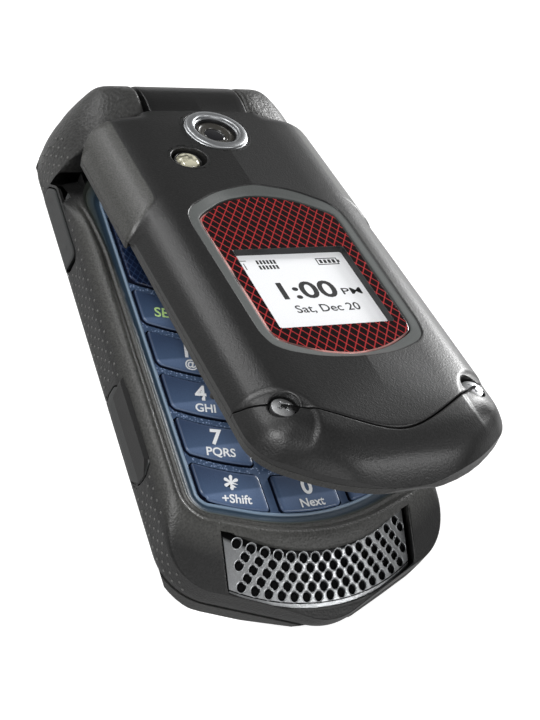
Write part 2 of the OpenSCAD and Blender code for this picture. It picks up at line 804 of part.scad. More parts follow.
module lid_outer_cover() {
    color("#3d3e40") turned_lid() difference() {
        union() {
            difference() {
                union() {
                    lid_form();
                    across(neck_half_w) neck_profile();
                    intersection() {
                        barrel(hinge_r, -neck_half_w, neck_half_w);
                        slab(hinge_z, big) square(big, center = true);
                    }
                }
                lid_cavity();
                barrel(6, -neck_half_w - 1, neck_half_w + 1);
                translate([-neck_half_w - 1, hinge_y - 9, 0])
                    cube([2 * neck_half_w + 2, 9, neck_floor_z + 0.35]);
            }
        }
        slab(0, split_z + 0.05) square(big, center = true);
        slab(0, big) chin_region(seam_half_gap);
        // bezel, window seat and display opening
        slab(window_z + 0.05, big) window_outline(1.8);
        slab(window_z - window_t - 0.05, big) window_outline(0.08);
        screen_space(0.2, big);
        screen_space(1.1, screen_z + 0.1);
        // camera and flash
        translate([0, camera_y, lid_z1 - 1.5]) cylinder(h = 9, r = ring_r + 0.1);
        translate([0, camera_y, split_z]) cylinder(h = 9, r = 4.4);
        translate([flash_pos[0], flash_pos[1], split_z]) cylinder(h = 9, r = flash_r, $fn = 32);
        screw_pockets();
    }
}

module lid_chin_cover() {
    color("#38393b") turned_lid() difference() {
        intersection() {
            lid_form();
            slab(split_z + 0.05, big) chin_region(-seam_half_gap);
        }
        difference() {
            lid_cavity();
            screw_posts();
        }
        screw_pockets();
    }
}

module lid_inner_cover() {
    color("#232426") turned_lid() difference() {
        union() {
            difference() {
                union() {
                    intersection() {
                        lid_form();
                        slab(lid_z0, split_z - 0.05) square(big, center = true);
                    }
                    // floor of the neck, from the shoulders to the barrel
                    block([-neck_half_w, shoulder_y - 3, lid_z0], [neck_half_w, shoulder_y + 2, neck_floor_z]);
                }
                barrel(clear_r + 0.1, -big, -neck_half_w - 0.01);
                barrel(clear_r + 0.1, neck_half_w + 0.01, big);
            }
            barrel(5.9, -neck_half_w, neck_half_w);
            intersection() {
                barrel(hinge_r, -neck_half_w, neck_half_w);
                slab(0, hinge_z - 0.1) square(big, center = true);
            }
        }
        barrel(pin_r + pin_fit, -big, big);
        main_window_cut(0.1, -skin, 0.85);
        translate([-17, lid_tip_y + 17, 0]) cube([34, 49, big / 8]);
        // earpiece slots
        for (i = [-1:1]) translate([-4, lid_tip_y + 9 + i * 1.3 - 0.35, 0]) cube([8, 0.7, split_z + 1]);
    }
}

module main_window_cut(grow, z0, z1) {
    translate([0, lid_tip_y + 41.5, lid_z0 + z0])
        round_box(36.8 + 2 * grow, 53 + 2 * grow, z1 - z0, 2);
}

module main_window() {
    color("#0b0c0f") turned_lid() main_window_cut(0, 0.1, 0.75);
}

module main_display() {
    color("#15181d") turned_lid()
        block([-16.8, lid_tip_y + 17.2, lid_z0 + 0.85], [16.8, lid_tip_y + 65.8, lid_z0 + 2.6]);
}

module lid_board() {
    color("#1f5a3c") turned_lid() difference() {
        block([-17.5, lid_tip_y + 16.5, lid_board_z], [17.5, shoulder_y - 3.8, lid_board_z + 0.7]);
        translate([0, camera_y, 0]) cylinder(h = big / 8, r = 0.8);
    }
}

module lid_flex() {
    color("#c07f2d") turned_lid() {
        block([-4, shoulder_y - 9, lid_board_z - 0.25], [4, shoulder_y - 3.2, lid_board_z]);
        block([-4, shoulder_y - 3.4, neck_floor_z + 0.05], [4, shoulder_y + 0.3, neck_floor_z + 0.25]);
        block([-4, shoulder_y - 3.45, lid_board_z - 0.25], [4, shoulder_y - 3.15, neck_floor_z + 0.25]);
    }
}

module outer_display() {
    color("#f4f5f5") turned_lid() block(
        [-screen_w / 2 - 0.9, screen_y - screen_l / 2 - 0.9, lid_board_z + 0.75],
        [screen_w / 2 + 0.9, screen_y + screen_l / 2 + 0.9, screen_z]);
}

module outer_window() {
    color("#8d1f24") turned_lid() difference() {
        slab(window_z - window_t, window_z) window_outline(0);
        translate([-screen_w / 2, screen_y - screen_l / 2, 0]) cube([screen_w, screen_l, big / 4]);
    }
}

module camera_ring() {
    color("#b9bbbd") turned_lid() translate([0, camera_y, lid_z1]) rotate_extrude()
        polygon([[3.7, -1.4], [ring_r, -1.4], [ring_r, -0.1], [ring_r - 0.5, 0.35],
                 [ring_r - 1.2, 0.4], [ring_r - 1.6, 0], [3.9, -0.35], [3.7, -0.7]]);
}

module camera_module() {
    color("#0f1012") turned_lid() translate([0, camera_y, 0]) {
        translate([0, 0, lid_board_z + 0.7]) cylinder(h = lid_z1 - 0.9 - lid_board_z - 0.7, r = 3.6);
        block([-4, -4, lid_board_z + 0.75], [4, 4, lid_cavity_z1 - 0.2]);
    }
}

module flash_lens() {
    color("#e6e4cf") turned_lid() translate([flash_pos[0], flash_pos[1], lid_board_z + 0.75]) {
        cylinder(h = screen_z - lid_board_z - 0.6, r = 2.3, $fn = 32);
        cylinder(h = 0.8, r = 2.7, $fn = 32);
    }
}

module earpiece() {
    color("#2a2b2d") turned_lid() translate([0, lid_tip_y + 9, split_z + 0.05])
        round_box(14, 6, 2.4, 2);
}

module lid_screws() {
    color("#c3c5c8") turned_lid() for (s = [-1, 1])
        translate([s * lid_screw_x, lid_screw_y, lid_screw_z]) difference() {
            union() {
                translate([0, 0, -0.75]) cylinder(h = 0.75, r = 1.8, $fn = 32);
                translate([0, 0, -4.2]) cylinder(h = 4, r = 0.7, $fn = 24);
                intersection() {
                    translate([0, 0, -3.4]) sphere(r = 3.8, $fn = 48);
                    translate([0, 0, -0.1]) cylinder(h = 1, r = 1.8, $fn = 32);
                }
            }
            for (a = [0, 90]) rotate([0, 0, a + 20]) block([-1, -0.2, -0.3], [1, 0.2, 1]);
        }
}

module lid_bumpers() {
    color("#101010") turned_lid() for (s = [-1, 1]) for (y = [chin_y + 26, hinge_y - 15])
        translate([s * (lid_half_w - 1), y, base_h + 0.15])
            cylinder(h = lid_gap - 0.15, r = 0.6, $fn = 24);
}

rear_housing();
front_housing();
housing_seal();
housing_screws();
keypad_bezel();
key_membrane();
dome_sheet();
main_board();
speaker_grille();
grille_mesh();
speakers();
vibration_motor();
battery();
battery_contacts();
card_holder();
usb_connector();
side_switches();
antenna();
hinge_cam();
hinge_pin();
battery_cover();
cover_seal();
cover_latch();
volume_rocker();
side_key();
port_door();
soft_key(-1);  // left_soft_key
soft_key(1);  // right_soft_key
nav_ring();
ok_key();
for (k = KEY_GRID) grid_key(k[1], k[2]);
lid_outer_cover();
lid_chin_cover();
lid_inner_cover();
lid_screws();
lid_bumpers();
lid_board();
lid_flex();
main_display();
main_window();
outer_display();
outer_window();
camera_ring();
camera_module();
flash_lens();
earpiece();
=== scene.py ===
"""Flip phone, standing partly open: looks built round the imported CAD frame. Lengths here are in mm until a mesh is made."""
import math
import bmesh
import bpy
import numpy as np
from mathutils import Matrix


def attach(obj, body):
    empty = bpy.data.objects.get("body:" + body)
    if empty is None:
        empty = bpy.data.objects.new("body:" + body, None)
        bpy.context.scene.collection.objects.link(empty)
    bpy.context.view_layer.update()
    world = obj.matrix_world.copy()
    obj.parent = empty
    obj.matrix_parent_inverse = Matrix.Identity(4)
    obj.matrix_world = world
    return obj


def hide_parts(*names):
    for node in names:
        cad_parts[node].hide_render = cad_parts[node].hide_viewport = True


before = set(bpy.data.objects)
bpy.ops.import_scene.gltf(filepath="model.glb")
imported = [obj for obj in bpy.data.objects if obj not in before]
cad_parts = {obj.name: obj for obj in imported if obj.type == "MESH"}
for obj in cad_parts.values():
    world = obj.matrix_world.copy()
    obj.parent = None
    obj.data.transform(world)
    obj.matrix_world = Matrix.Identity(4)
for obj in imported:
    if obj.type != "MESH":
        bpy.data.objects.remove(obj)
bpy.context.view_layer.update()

UP = (0, 0, 1)
HINGE_Y, HINGE_Z, LID_OPEN = 43.8, 13.6, 15.2
HINGE_R, CLEAR_R = 7.2, 7.5     # the barrel round the hinge, and what is kept clear of it
GAP_X, NECK_X = 10.4, 9.7       # half the gap between the knuckles, half the width of the neck in it
HALF_W, END_Y, CHIN_Y, RIM_Z = 25.75, 51.0, -51.0, 12.3
FOOT_Z = 2.62                   # the foot of the front housing's wall
CAMERA, FLASH, POCKET_R = (0, 31.7), (-8.2, 24), 2.2
SCREWS = ((16.5, -34.67), (-16.5, -34.67))
CONE_Y, CONE_R, CONE_FALL = -15.3, 26, 1.727    # the grille's cone: its axis, its upper edge, and how flat it is
ROW_PITCH, KEY_DEEP, ROW_CURVE = 8.4, 6.7, 76   # key rows: pitch, depth of a key, flatness of the parabola


# ---- curves and heights, all worked out on whole arrays ----

def arc(cx, cy, r, a0, a1, n=14):
    """Points on a circle of radius r about (cx, cy), from angle a0 to a1 in degrees."""
    a = np.radians(np.linspace(a0, a1, n + 1))
    return np.stack([cx + r * np.cos(a), cy + r * np.sin(a)], -1)


def end_runs(w, tip_y, tip_r, flank, corner_r):
    """Right half of a rounded end: an arc about the middle, a straight flank, an arc at the corner."""
    f, x = math.radians(flank), w - corner_r
    y = (math.sin(f) * x + math.cos(f) * (tip_y + tip_r) - tip_r + corner_r) / math.cos(f)
    return arc(0, tip_y + tip_r, tip_r, -90, -90 + flank), arc(x, y, corner_r, -90 + flank, 0)


def spaced(line, n):
    """n + 1 points at equal distances along a line of points."""
    line = np.asarray(line, float)
    s = np.r_[0, np.cumsum(np.hypot(*np.diff(line, axis=0).T))]
    t = np.linspace(0, s[-1], n + 1)
    return np.stack([np.interp(t, s, line[:, k]) for k in range(line.shape[1])], -1)


def runs(*parts):
    """Several lines one after the other, each in its own number of equal steps, without doubled joints."""
    return np.concatenate([spaced(line, n)[min(k, 1):] for k, (line, n) in enumerate(parts)])


def mirrored(half):
    """A closed outline from its right half, bottom to top."""
    half = np.asarray(half, float)
    left = half[::-1] * [-1, 1]
    return np.concatenate([half, left[np.abs(left[:, 0]) > 1e-6]])


def softened(outline, cut, rounds=3):
    """A closed outline with each corner cut back by at most `cut`, over and over with smaller cuts."""
    p = np.asarray(outline, float)
    for _ in range(rounds):
        fore, aft = np.roll(p, -1, 0) - p, np.roll(p, 1, 0) - p
        lf, la = np.hypot(*fore.T)[:, None], np.hypot(*aft.T)[:, None]
        p = np.stack([p + aft / la * np.minimum(cut, la * .3), p + fore / lf * np.minimum(cut, lf * .3)], 1)
        p = p.reshape(-1, 2)
        cut *= .45
    return p


def ray_lengths(centre, angles, outline):
    """Distance from centre to a closed outline along each angle: each ray against each edge, the nearest crossing kept."""
    a = np.asarray(outline, float) - centre
    b = np.roll(a, -1, 0)
    d = np.stack([np.cos(angles), np.sin(angles)], -1)[:, None, :]
    e = (b - a)[None]
    den = d[..., 0] * e[..., 1] - d[..., 1] * e[..., 0]
    den = np.where(np.abs(den) < 1e-12, 1e-12, den)
    t = (a[None, :, 0] * e[..., 1] - a[None, :, 1] * e[..., 0]) / den
    u = (a[None, :, 0] * d[..., 1] - a[None, :, 1] * d[..., 0]) / den
    good = (t > 1e-6) & (u > -1e-7) & (u < 1 + 1e-7)
    return np.where(good, t, 1e9).min(1)


def gap_to(x, y, line):
    """Distance from each point to a chain of segments."""
    best = np.full(np.broadcast(x, y).shape, 1e9)
    for (ax, ay), (bx, by) in zip(line[:-1], line[1:]):
        dx, dy = bx - ax, by - ay
        t = np.clip(((x - ax) * dx + (y - ay) * dy) / max(dx * dx + dy * dy, 1e-12), 0, 1)
        best = np.minimum(best, np.hypot(x - ax - t * dx, y - ay - t * dy))
    return best


def least(z, *others):
    """Lower of several heights, each corner rounded over its own width k."""
    for b, k in others:
        h = np.maximum(k - np.abs(z - b), 0) / k
        z = np.minimum(z, b) - h * h * k / 4
    return z


def rise(e0, e1, x):
    """0 before e0, 1 after e1, smooth between."""
    t = np.clip((x - e0) / (e1 - e0), 0, 1)
    return t * t * (3 - 2 * t)


def at(x, y, z):
    """Points from three arrays of one shape."""
    return np.stack(np.broadcast_arrays(x, y, z), -1).astype(float)


def polar(centre, r, a, z):
    """Points at distance r and angle a from a centre in plan."""
    return at(centre[0] + r * np.cos(a), centre[1] + r * np.sin(a), z)


def centred(x):
    """Puts on the middle plane what lies next to it, so that both halves meet there."""
    x[np.abs(x) < 1e-7] = 0


def off(centre, x, y):
    """Distance of each point from a centre in plan."""
    return np.hypot(x - centre[0], y - centre[1])


# ---- from grids to a mesh ----

def sheet(p, toward=None, uv=None, cut=None):
    """A grid of points, turned over where its quads face away from `toward` (or inwards, if none is given).
    `cut` marks the points whose quads are left out."""
    n = np.cross(p[1:, :-1] - p[:-1, :-1], p[:-1, 1:] - p[:-1, :-1])
    mid = (p[1:, 1:] + p[:-1, :-1]) / 2
    ref = mid - mid.reshape(-1, 3).mean(0) if toward is None else np.asarray(toward, float)
    uv = p[..., :2] if uv is None else uv
    if (n * ref).sum() < 0:
        p, uv = p[::-1], uv[::-1]
        cut = None if cut is None else cut[::-1]
    return p, uv, cut


def flipped_x(s):
    """The mirror image of a sheet in x = 0, still facing outwards."""
    p, uv, cut = s
    return p[::-1] * [-1, 1, 1], uv[::-1] * [-1, 1], None if cut is None else cut[::-1]


def both(*sheets):
    """Each sheet followed by its mirror image."""
    return [t for s in sheets for t in (s, flipped_x(s))]


def opened(p):
    """Points of the closed lid turned about the hinge to the pose that the phone is stored in."""
    a = math.radians(-LID_OPEN)
    y, z = p[..., 1] - HINGE_Y, p[..., 2] - HINGE_Z
    return at(p[..., 0], HINGE_Y + y * math.cos(a) - z * math.sin(a), HINGE_Z + y * math.sin(a) + z * math.cos(a))


def in_scene(name, data):
    """A new object for a mesh, lamp or camera, linked to the scene."""
    o = bpy.data.objects.new(name, data)
    bpy.context.scene.collection.objects.link(o)
    return o


def piece(name, sheets, body, finish, instead=(), lid=False, sharp=38, crease=False):
    """One mesh from several sheets: quads between grid neighbours, a plan UV in mm, doubles merged, sharp edges by angle.
    With `crease`, the edges on the middle plane stay sharp."""
    co, quads, uvs, base = [], [], [], 0
    for p, uv, cut in sheets:
        idx = np.arange(p.shape[0] * p.shape[1]).reshape(p.shape[:2]) + base
        q = np.stack([idx[:-1, :-1], idx[1:, :-1], idx[1:, 1:], idx[:-1, 1:]], -1)
        if cut is not None:
            q = q[~(cut[:-1, :-1] | cut[1:, :-1] | cut[1:, 1:] | cut[:-1, 1:])]
        quads.append(q.reshape(-1, 4))
        co.append(p.reshape(-1, 3))
        uvs.append(uv.reshape(-1, 2))
        base += p.shape[0] * p.shape[1]
    co, quads, uvs = np.concatenate(co), np.concatenate(quads), np.concatenate(uvs)
    flat = np.abs(co[:, 0]) < 1e-4
    if lid:
        co = opened(co)
    mesh = bpy.data.meshes.new(name)
    mesh.from_pydata((co * .001).tolist(), [], quads.tolist())
    mesh.uv_layers.new(name="Plan").data.foreach_set("uv", uvs[quads.ravel()].astype(np.float32).ravel())
    if crease:
        mesh.attributes.new("on_crease", "FLOAT", "POINT").data.foreach_set("value", flat.astype(np.float32))
    bm = bmesh.new()
    bm.from_mesh(mesh)
    bmesh.ops.remove_doubles(bm, verts=bm.verts, dist=2e-6)
    bmesh.ops.dissolve_degenerate(bm, edges=bm.edges, dist=1e-7)
    bm.to_mesh(mesh)
    bm.free()
    mesh.shade_smooth()
    mesh.set_sharp_from_angle(angle=math.radians(sharp))
    if crease:
        on = np.zeros(len(mesh.vertices), np.float32)
        mesh.attributes["on_crease"].data.foreach_get("value", on)
        ends = np.zeros(len(mesh.edges) * 2, np.int32)
        mesh.edges.foreach_get("vertices", ends)
        hard = np.zeros(len(mesh.edges), bool)
        mesh.attributes["sharp_edge"].data.foreach_get("value", hard)
        hard |= (on[ends.reshape(-1, 2)] > .5).all(1)
        mesh.attributes["sharp_edge"].data.foreach_set("value", hard)
        mesh.attributes.remove(mesh.attributes["on_crease"])
    mesh.materials.append(finish)
    o = in_scene(name, mesh)
    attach(o, body)
    if instead:
        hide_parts(*instead)


def ring_rows(rows, closed=True):
    """Outlines with as many points each, stacked as the rows of a grid: (outline, height) each."""
    out = []
    for line, z in rows:
        line = np.asarray(line, float)
        p = at(line[:, 0], line[:, 1], z)
        out.append(np.concatenate([p, p[:1]]) if closed else p)
    return np.stack(out)


def offset(outline, d):
    """A closed anticlockwise outline moved outwards by d, each point along the mean normal of its two edges."""
    p = np.asarray(outline, float)
    t = np.roll(p, -1, 0) - np.roll(p, 1, 0)
    t /= np.maximum(np.hypot(*t.T), 1e-9)[:, None]
    return p + d * np.stack([t[:, 1], -t[:, 0]], -1)


def opening(outline, height, depth, lip=.55, soft=.12, room=9.0):
    """The edge of an opening in a height field: a lip that starts just under the surface, rolls over and goes down `depth`.
    `room` is how far outwards the lip may go, at each point of the outline."""
    rows = []
    for d, dz in ((lip, -.03), (lip - .15, .012), (soft, .012), (soft * .4, -soft * .25), (0, -soft), (0, -depth)):
        q = offset(outline, np.broadcast_to(np.minimum(d, room), len(outline))[:, None])
        rows.append((q, height(q[:, 0], q[:, 1]) + dz))
    return sheet(ring_rows(rows), toward=UP)


def turned(profile, centre, n=96):
    """A profile of (radius, height) carried round a vertical axis through centre."""
    a = np.linspace(0, 2 * math.pi, n + 1)[None]
    r, z = np.asarray(profile, float).T[..., None]
    return sheet(polar(centre, r, a, z + 0 * a), toward=UP)


# ---- finishes ----

def tint(r, g, b):
    """A colour as it looks on a screen, 0 to 255, as Blender's linear values."""
    c = np.array([r, g, b]) / 255
    return tuple(np.where(c <= .04045, c / 12.92, ((c + .055) / 1.055) ** 2.4)) + (1.0,)


def effect(name, inputs, outputs):
    """An empty node group with its sockets, and a function that adds nodes to it."""
    g = bpy.data.node_groups.new(name, "ShaderNodeTree")
    for n, kind, value in inputs:
        s = g.interface.new_socket(name=n, in_out="INPUT", socket_type=kind)
        if value is not None:
            s.default_value = value
    for n, kind in outputs:
        g.interface.new_socket(name=n, in_out="OUTPUT", socket_type=kind)
    return g, Nodes(g)


class Nodes:
    """Adds nodes to a tree: values go on sockets by name, and a socket given as a value is linked."""

    def __init__(self, tree):
        self.tree = tree

    def put(self, value, socket):
        """Links a socket to the socket, or sets a plain value on it."""
        if hasattr(value, "is_output"):
            self.tree.links.new(value, socket)
        else:
            socket.default_value = value

    def add(self, kind, **values):
        n = self.tree.nodes.new(kind)
        for key, v in values.items():
            if hasattr(n, key) and not hasattr(v, "is_output"):
                setattr(n, key, v)
            else:
                numbered = key[0] == "i" and key[1:].isdigit()
                self.put(v, n.inputs[int(key[1:]) if numbered else key.replace("_", " ")])
        return n

    def sum(self, operation, *values):
        """A mathematical operation on its values."""
        return self.add("ShaderNodeMath", operation=operation, **{f"i{k}": v for k, v in enumerate(values)}).outputs[0]

    def mix(self, share, a, b):
        """Colour a where share is 0, b where it is 1."""
        return self.add("ShaderNodeMix", data_type="RGBA", i0=share, i6=a, i7=b).outputs[2]

    def ramp(self, value, low, high, start=0.0, end=1.0, **more):
        """Start at low, end at high, straight between and level beyond."""
        return self.add("ShaderNodeMapRange", Value=value, From_Min=low, From_Max=high, To_Min=start, To_Max=end,
                        **more).outputs[0]

    def place(self):
        """Where the point is on its object, in metres."""
        return self.add("ShaderNodeTexCoord").outputs["Object"]

    def axes(self, vector):
        """A vector's three parts."""
        return tuple(self.add("ShaderNodeSeparateXYZ", Vector=vector).outputs)

    def plan(self):
        """Both coordinates of the plan UV."""
        return self.axes(self.add("ShaderNodeUVMap", uv_map="Plan").outputs[0])[:2]

    def noise(self, scale):
        """Noise of the object's own space."""
        return self.add("ShaderNodeTexNoise", Vector=self.place(), Scale=scale).outputs["Fac"]

    def bump(self, strength, distance, height):
        """A normal bumped by a height."""
        return self.add("ShaderNodeBump", Strength=strength, Distance=distance, Height=height).outputs["Normal"]

    def grain(self, size, depth):
        """The outputs of the fine grain."""
        return self.add("ShaderNodeGroup", node_tree=GRAIN, Size=size, Depth=depth).outputs

    def toned(self, colour, value):
        """A colour made lighter or darker."""
        return self.add("ShaderNodeHueSaturation", Color=colour, Value=value).outputs[0]

    def speckled(self, colour, size, depth, spread):
        """The material in a colour made lighter and darker by the fine grain, which also bumps it."""
        g = self.grain(size, depth)
        return self.dressed(self.toned(colour, self.ramp(g["Grain"], .3, .75, 1 - spread, 1 + spread)), g["Normal"])

    def dressed(self, colour, normal=None):
        """The material, once its shader has this colour and this normal."""
        self.put(colour, self.shader.inputs["Base Color"])
        if normal is not None:
            self.put(normal, self.shader.inputs["Normal"])
        return self.made


def fine_grain():
    """Moulded grain: two sizes of noise about `Size` mm, as a mask, a broad mottle and a bumped normal."""
    g, n = effect("Fine grain", [("Size", "NodeSocketFloat", .25), ("Depth", "NodeSocketFloat", .4)],
                  [("Grain", "NodeSocketFloat"), ("Mottle", "NodeSocketFloat"), ("Normal", "NodeSocketVector")])
    i, o = n.add("NodeGroupInput"), n.add("NodeGroupOutput")
    where = n.place()
    scale = n.sum("DIVIDE", 1000.0, i.outputs["Size"])
    fine = n.add("ShaderNodeTexNoise", Vector=where, Scale=scale, Detail=2.0, Roughness=.6).outputs["Fac"]
    pits = n.add("ShaderNodeTexVoronoi", Vector=where, Scale=n.sum("MULTIPLY", scale, .8)).outputs["Distance"]
    height = n.sum("ADD", n.sum("MULTIPLY", fine, .7), n.sum("MULTIPLY", pits, .45))
    broad = n.add("ShaderNodeTexNoise", Vector=where, Scale=90.0, Detail=3.0).outputs["Fac"]
    normal = n.bump(i.outputs["Depth"], .00007, height)
    for k, v in (("Grain", height), ("Mottle", broad), ("Normal", normal)):
        n.put(v, o.inputs[k])
    return g


GRAIN = fine_grain()


def material(name, **shader):
    """The nodes of a new material, with its Principled shader and its output joined up."""
    m = bpy.data.materials.new(name)
    m.use_nodes = True
    m.node_tree.nodes.clear()
    n = Nodes(m.node_tree)
    n.made, n.shader = m, n.add("ShaderNodeBsdfPrincipled", **shader)
    n.put(n.shader.outputs[0], n.add("ShaderNodeOutputMaterial").inputs[0])
    return n


def moulded(name, colour, rough=.5, size=.25, depth=.4, speckle=.16, mottle=.1, **shader):
    """Moulded plastic: grain lightens and darkens the colour, a broad mottle shifts it, and the grain bumps the surface."""
    n = material(name, Roughness=rough, **shader)
    g = n.grain(size, depth)
    c = np.array(tint(*colour))
    dark, light = c * (1 - speckle), c * (1 + speckle) + .004 * speckle
    speckled = n.mix(n.ramp(g["Grain"], .3, .75), tuple(dark[:3]) + (1,), tuple(light[:3]) + (1,))
    return n.dressed(n.toned(speckled, n.ramp(g["Mottle"], .3, .7, 1 - mottle, 1 + mottle)), g["Normal"])


def metal(name, colour, rough=.25, size=.12, depth=.15):
    """Worn bright metal: full metallic, with a fine grain in its colour and normal."""
    return moulded(name, colour, rough, size, depth, .1, .06, Metallic=1.0)


def grille_finish():
    """Bright metal: a painted shadow in black beside its upper edge, under the rim's lip, that thins out to the right,
    black ends and a fine dark line above the lower edge, by the distance from the cone's axis."""
    m = metal("brushed_silver", (192, 194, 196), .3, .18, .3)
    n = Nodes(m.node_tree)
    base = next(k for k in n.tree.nodes if k.type == "BSDF_PRINCIPLED").inputs["Base Color"]
    across, along, _ = n.axes(n.place())
    x = n.sum("MULTIPLY", n.sum("ABSOLUTE", across), 1000.0)
    y = n.sum("ADD", n.sum("MULTIPLY", along, 1000.0), -CONE_Y)
    reach = n.sum("SQRT", n.sum("ADD", n.sum("MULTIPLY", x, x), n.sum("MULTIPLY", y, y)))
    # painted shadow: a black band along the upper edge, under the rim's lip, thinner towards the right
    thin = n.ramp(across, -.004, .008, 0.0, .95)
    upper = n.ramp(n.sum("ADD", reach, thin), 26.75, 27.2, 1.0, 0.0)
    ends = n.ramp(x, 16.6, 16.7)
    line = n.ramp(n.sum("ABSOLUTE", n.sum("SUBTRACT", reach, 32.97)), .06, .12, 1.0, 0.0)
    # the painted shadow, the black ends and the dark line, taken together
    dark = n.sum("MAXIMUM", n.sum("MAXIMUM", upper, ends), line)
    n.put(n.mix(dark, base.links[0].from_socket, tint(24, 24, 25)), base)
    return m


def lattice_finish():
    """Glossy dark window with thin crossing red lines: each family is a sawtooth of one slanted direction in the plan."""
    n = material("window_lattice", Roughness=.14)
    x, y = n.plan()
    lines = []
    for lean, width in ((.7, .17), (-.7, .15)):
        wave = n.sum("PINGPONG", n.sum("ADD", x, n.sum("MULTIPLY", y, lean)), 1.75 / 2)
        lines.append(n.ramp(wave, width * .5, width, 1.0, 0.0))
    either, cross = n.sum("MAXIMUM", *lines), n.sum("MULTIPLY", *lines)
    ground = n.mix(n.noise(400.0), tint(8, 2, 3), tint(22, 4, 5))
    red = n.mix(n.sum("MULTIPLY", cross, .5), tint(158, 42, 44), tint(196, 72, 70))
    return n.dressed(n.mix(either, ground, red), n.bump(.3, .00004, either))


def blue_mesh_finish():
    """The tall keys' face: a dark blue diamond net, woven from two slanted families of lines in the plan."""
    n = material("key_net", Roughness=.35, Coat_Weight=.4, Coat_Roughness=.15)
    x, y = n.plan()
    waves = [n.sum("PINGPONG", n.sum("ADD", x, n.sum("MULTIPLY", y, lean)), .6) for lean in (.75, -.75)]
    net = n.ramp(n.sum("MINIMUM", *waves), .05, .12)
    cells = n.mix(n.noise(300.0), tint(10, 22, 48), tint(16, 34, 68))
    return n.dressed(n.mix(net, tint(44, 66, 104), cells), n.bump(.5, .00008, net))


def key_face_finish():
    """Slate blue key with a painted reflection: a lighter lower band and a darker upper part, by the share of its depth
    in its UV.
    """
    n = material("key_face", Roughness=.34, Coat_Weight=.35, Coat_Roughness=.2)
    _, v = n.plan()
    # painted reflection: the lower band lighter, the upper part darker towards the top
    band = n.ramp(v, .40, .47, interpolation_type="SMOOTHSTEP")
    upper = n.mix(n.ramp(v, .4, 1.0), tint(72, 92, 122), tint(54, 70, 98))
    lower = n.mix(n.ramp(v, 0.0, .45), tint(78, 98, 130), tint(98, 118, 150))
    return n.speckled(n.mix(band, lower, upper), .2, .15, .08)


def deck_finish():
    """Blue keypad deck: strips of light specks in the curved gaps between key rows, found from the row's own curve."""
    n = material("keypad_deck", Roughness=.4)
    x, y = (n.sum("MULTIPLY", k, 1000.0) for k in n.axes(n.place())[:2])
    curve = n.sum("ADD", 6.0, n.sum("DIVIDE", n.sum("MULTIPLY", x, x), float(ROW_CURVE)))
    rows = n.sum("DIVIDE", n.sum("SUBTRACT", y, curve), ROW_PITCH)
    part = n.sum("FRACT", n.sum("ADD", rows, 10.0))
    strip, strip_end = n.ramp(part, .03, .07), n.ramp(part, .17, .21, 1.0, 0.0)
    specks = n.add("ShaderNodeTexVoronoi", Vector=n.place(), Scale=2400.0).outputs["Distance"]
    share = n.sum("MULTIPLY", n.sum("MULTIPLY", strip, strip_end), n.ramp(specks, .22, .4, 1.0, 0.0))
    base = n.mix(n.noise(900.0), tint(62, 80, 108), tint(80, 100, 130))
    return n.dressed(n.mix(share, base, tint(150, 170, 205)), n.bump(.5, .00005, share))


def border_finish():
    """The deck's border: from dark teal at its outer edge to a painted highlight in light blue on the lip, by the
    distance across in its UV.
    """
    n = material("deck_border", Roughness=.42)
    _, v = n.plan()
    across = n.ramp(v, .05, .6, interpolation_type="SMOOTHSTEP")
    # painted highlight: light blue on the rounded lip beside the keys
    lip = n.ramp(v, .76, .86, interpolation_type="SMOOTHSTEP")
    slope = n.mix(across, tint(64, 68, 62), tint(44, 62, 78))
    return n.dressed(n.mix(lip, slope, tint(128, 150, 172)), n.grain(.22, .3)["Normal"])


def lcd_finish():
    """Reflective display: pale grey-white with a faint square pixel grid, and a faint painted glow from its emission.
    """
    # painted glow: a weak white emission lightens the display, which is no lamp
    n = material("display_paper", Roughness=.5, Emission_Color=(1, 1, 1, 1), Emission_Strength=.05)
    lines = [n.sum("PINGPONG", n.sum("MULTIPLY", k, 1000.0), .08) for k in n.axes(n.place())[:2]]
    grid = n.ramp(n.sum("MINIMUM", *lines), .0, .02)
    return n.dressed(n.mix(grid, tint(214, 216, 218), tint(236, 237, 239)))


def clear_finish(name, colour, rough, weight):
    """Clear plastic or glass over something: part transmission, with faint moulding ripples."""
    n = material(name, Roughness=rough, IOR=1.5, Transmission_Weight=weight)
    ripple = n.noise(900.0)
    tinted = n.mix(n.ramp(ripple, .42, .6), tint(*colour), tint(*(c * .45 for c in colour)))
    return n.dressed(tinted, n.bump(.12, .00005, ripple))


SHELL = moulded("shell_soft_touch", (44, 44, 43), .44, .28, .8, .35, .06)
KNUCKLE = moulded("knuckle_leather", (48, 48, 47), .44, .5, 1.6, .4, .06)
BEZEL = moulded("bezel_band", (84, 87, 86), .46, .16, .2, .08, .04)
BLACK = moulded("black_plastic_part", (24, 24, 25), .4, .2, .3, .1, .1)
RUBBER = moulded("rubber_part", (40, 40, 40), .62, .3, .5, .14, .1)
SIDE_KEYS = moulded("side_button", (36, 38, 38), .42, .2, .35, .14, .06)
DOT = moulded("grip_dot", (96, 96, 94), .42, .1, .2, .05, .05)
SILVER = metal("bright_silver", (170, 172, 174), .42)
GRILLE = grille_finish()
STEEL = metal("screw_steel", (214, 215, 216), .42)
GOLD = metal("contact_gold", (200, 164, 92), .3)
NET = moulded("speaker_net", (6, 6, 7), .9, .35, 1.2, .4, .1, Specular_IOR_Level=.1)
BOARD = moulded("circuit_board", (32, 82, 60), .45, .5, .3, .2, .1)
FLEX = moulded("flex_foil", (176, 118, 52), .35, .3, .2, .12, .08)
CELL = moulded("battery_wrap", (72, 76, 82), .42, .3, .3, .14, .08)
PANEL = moulded("dark_panel", (15, 17, 21), .12, .3, .05, .1, .1)
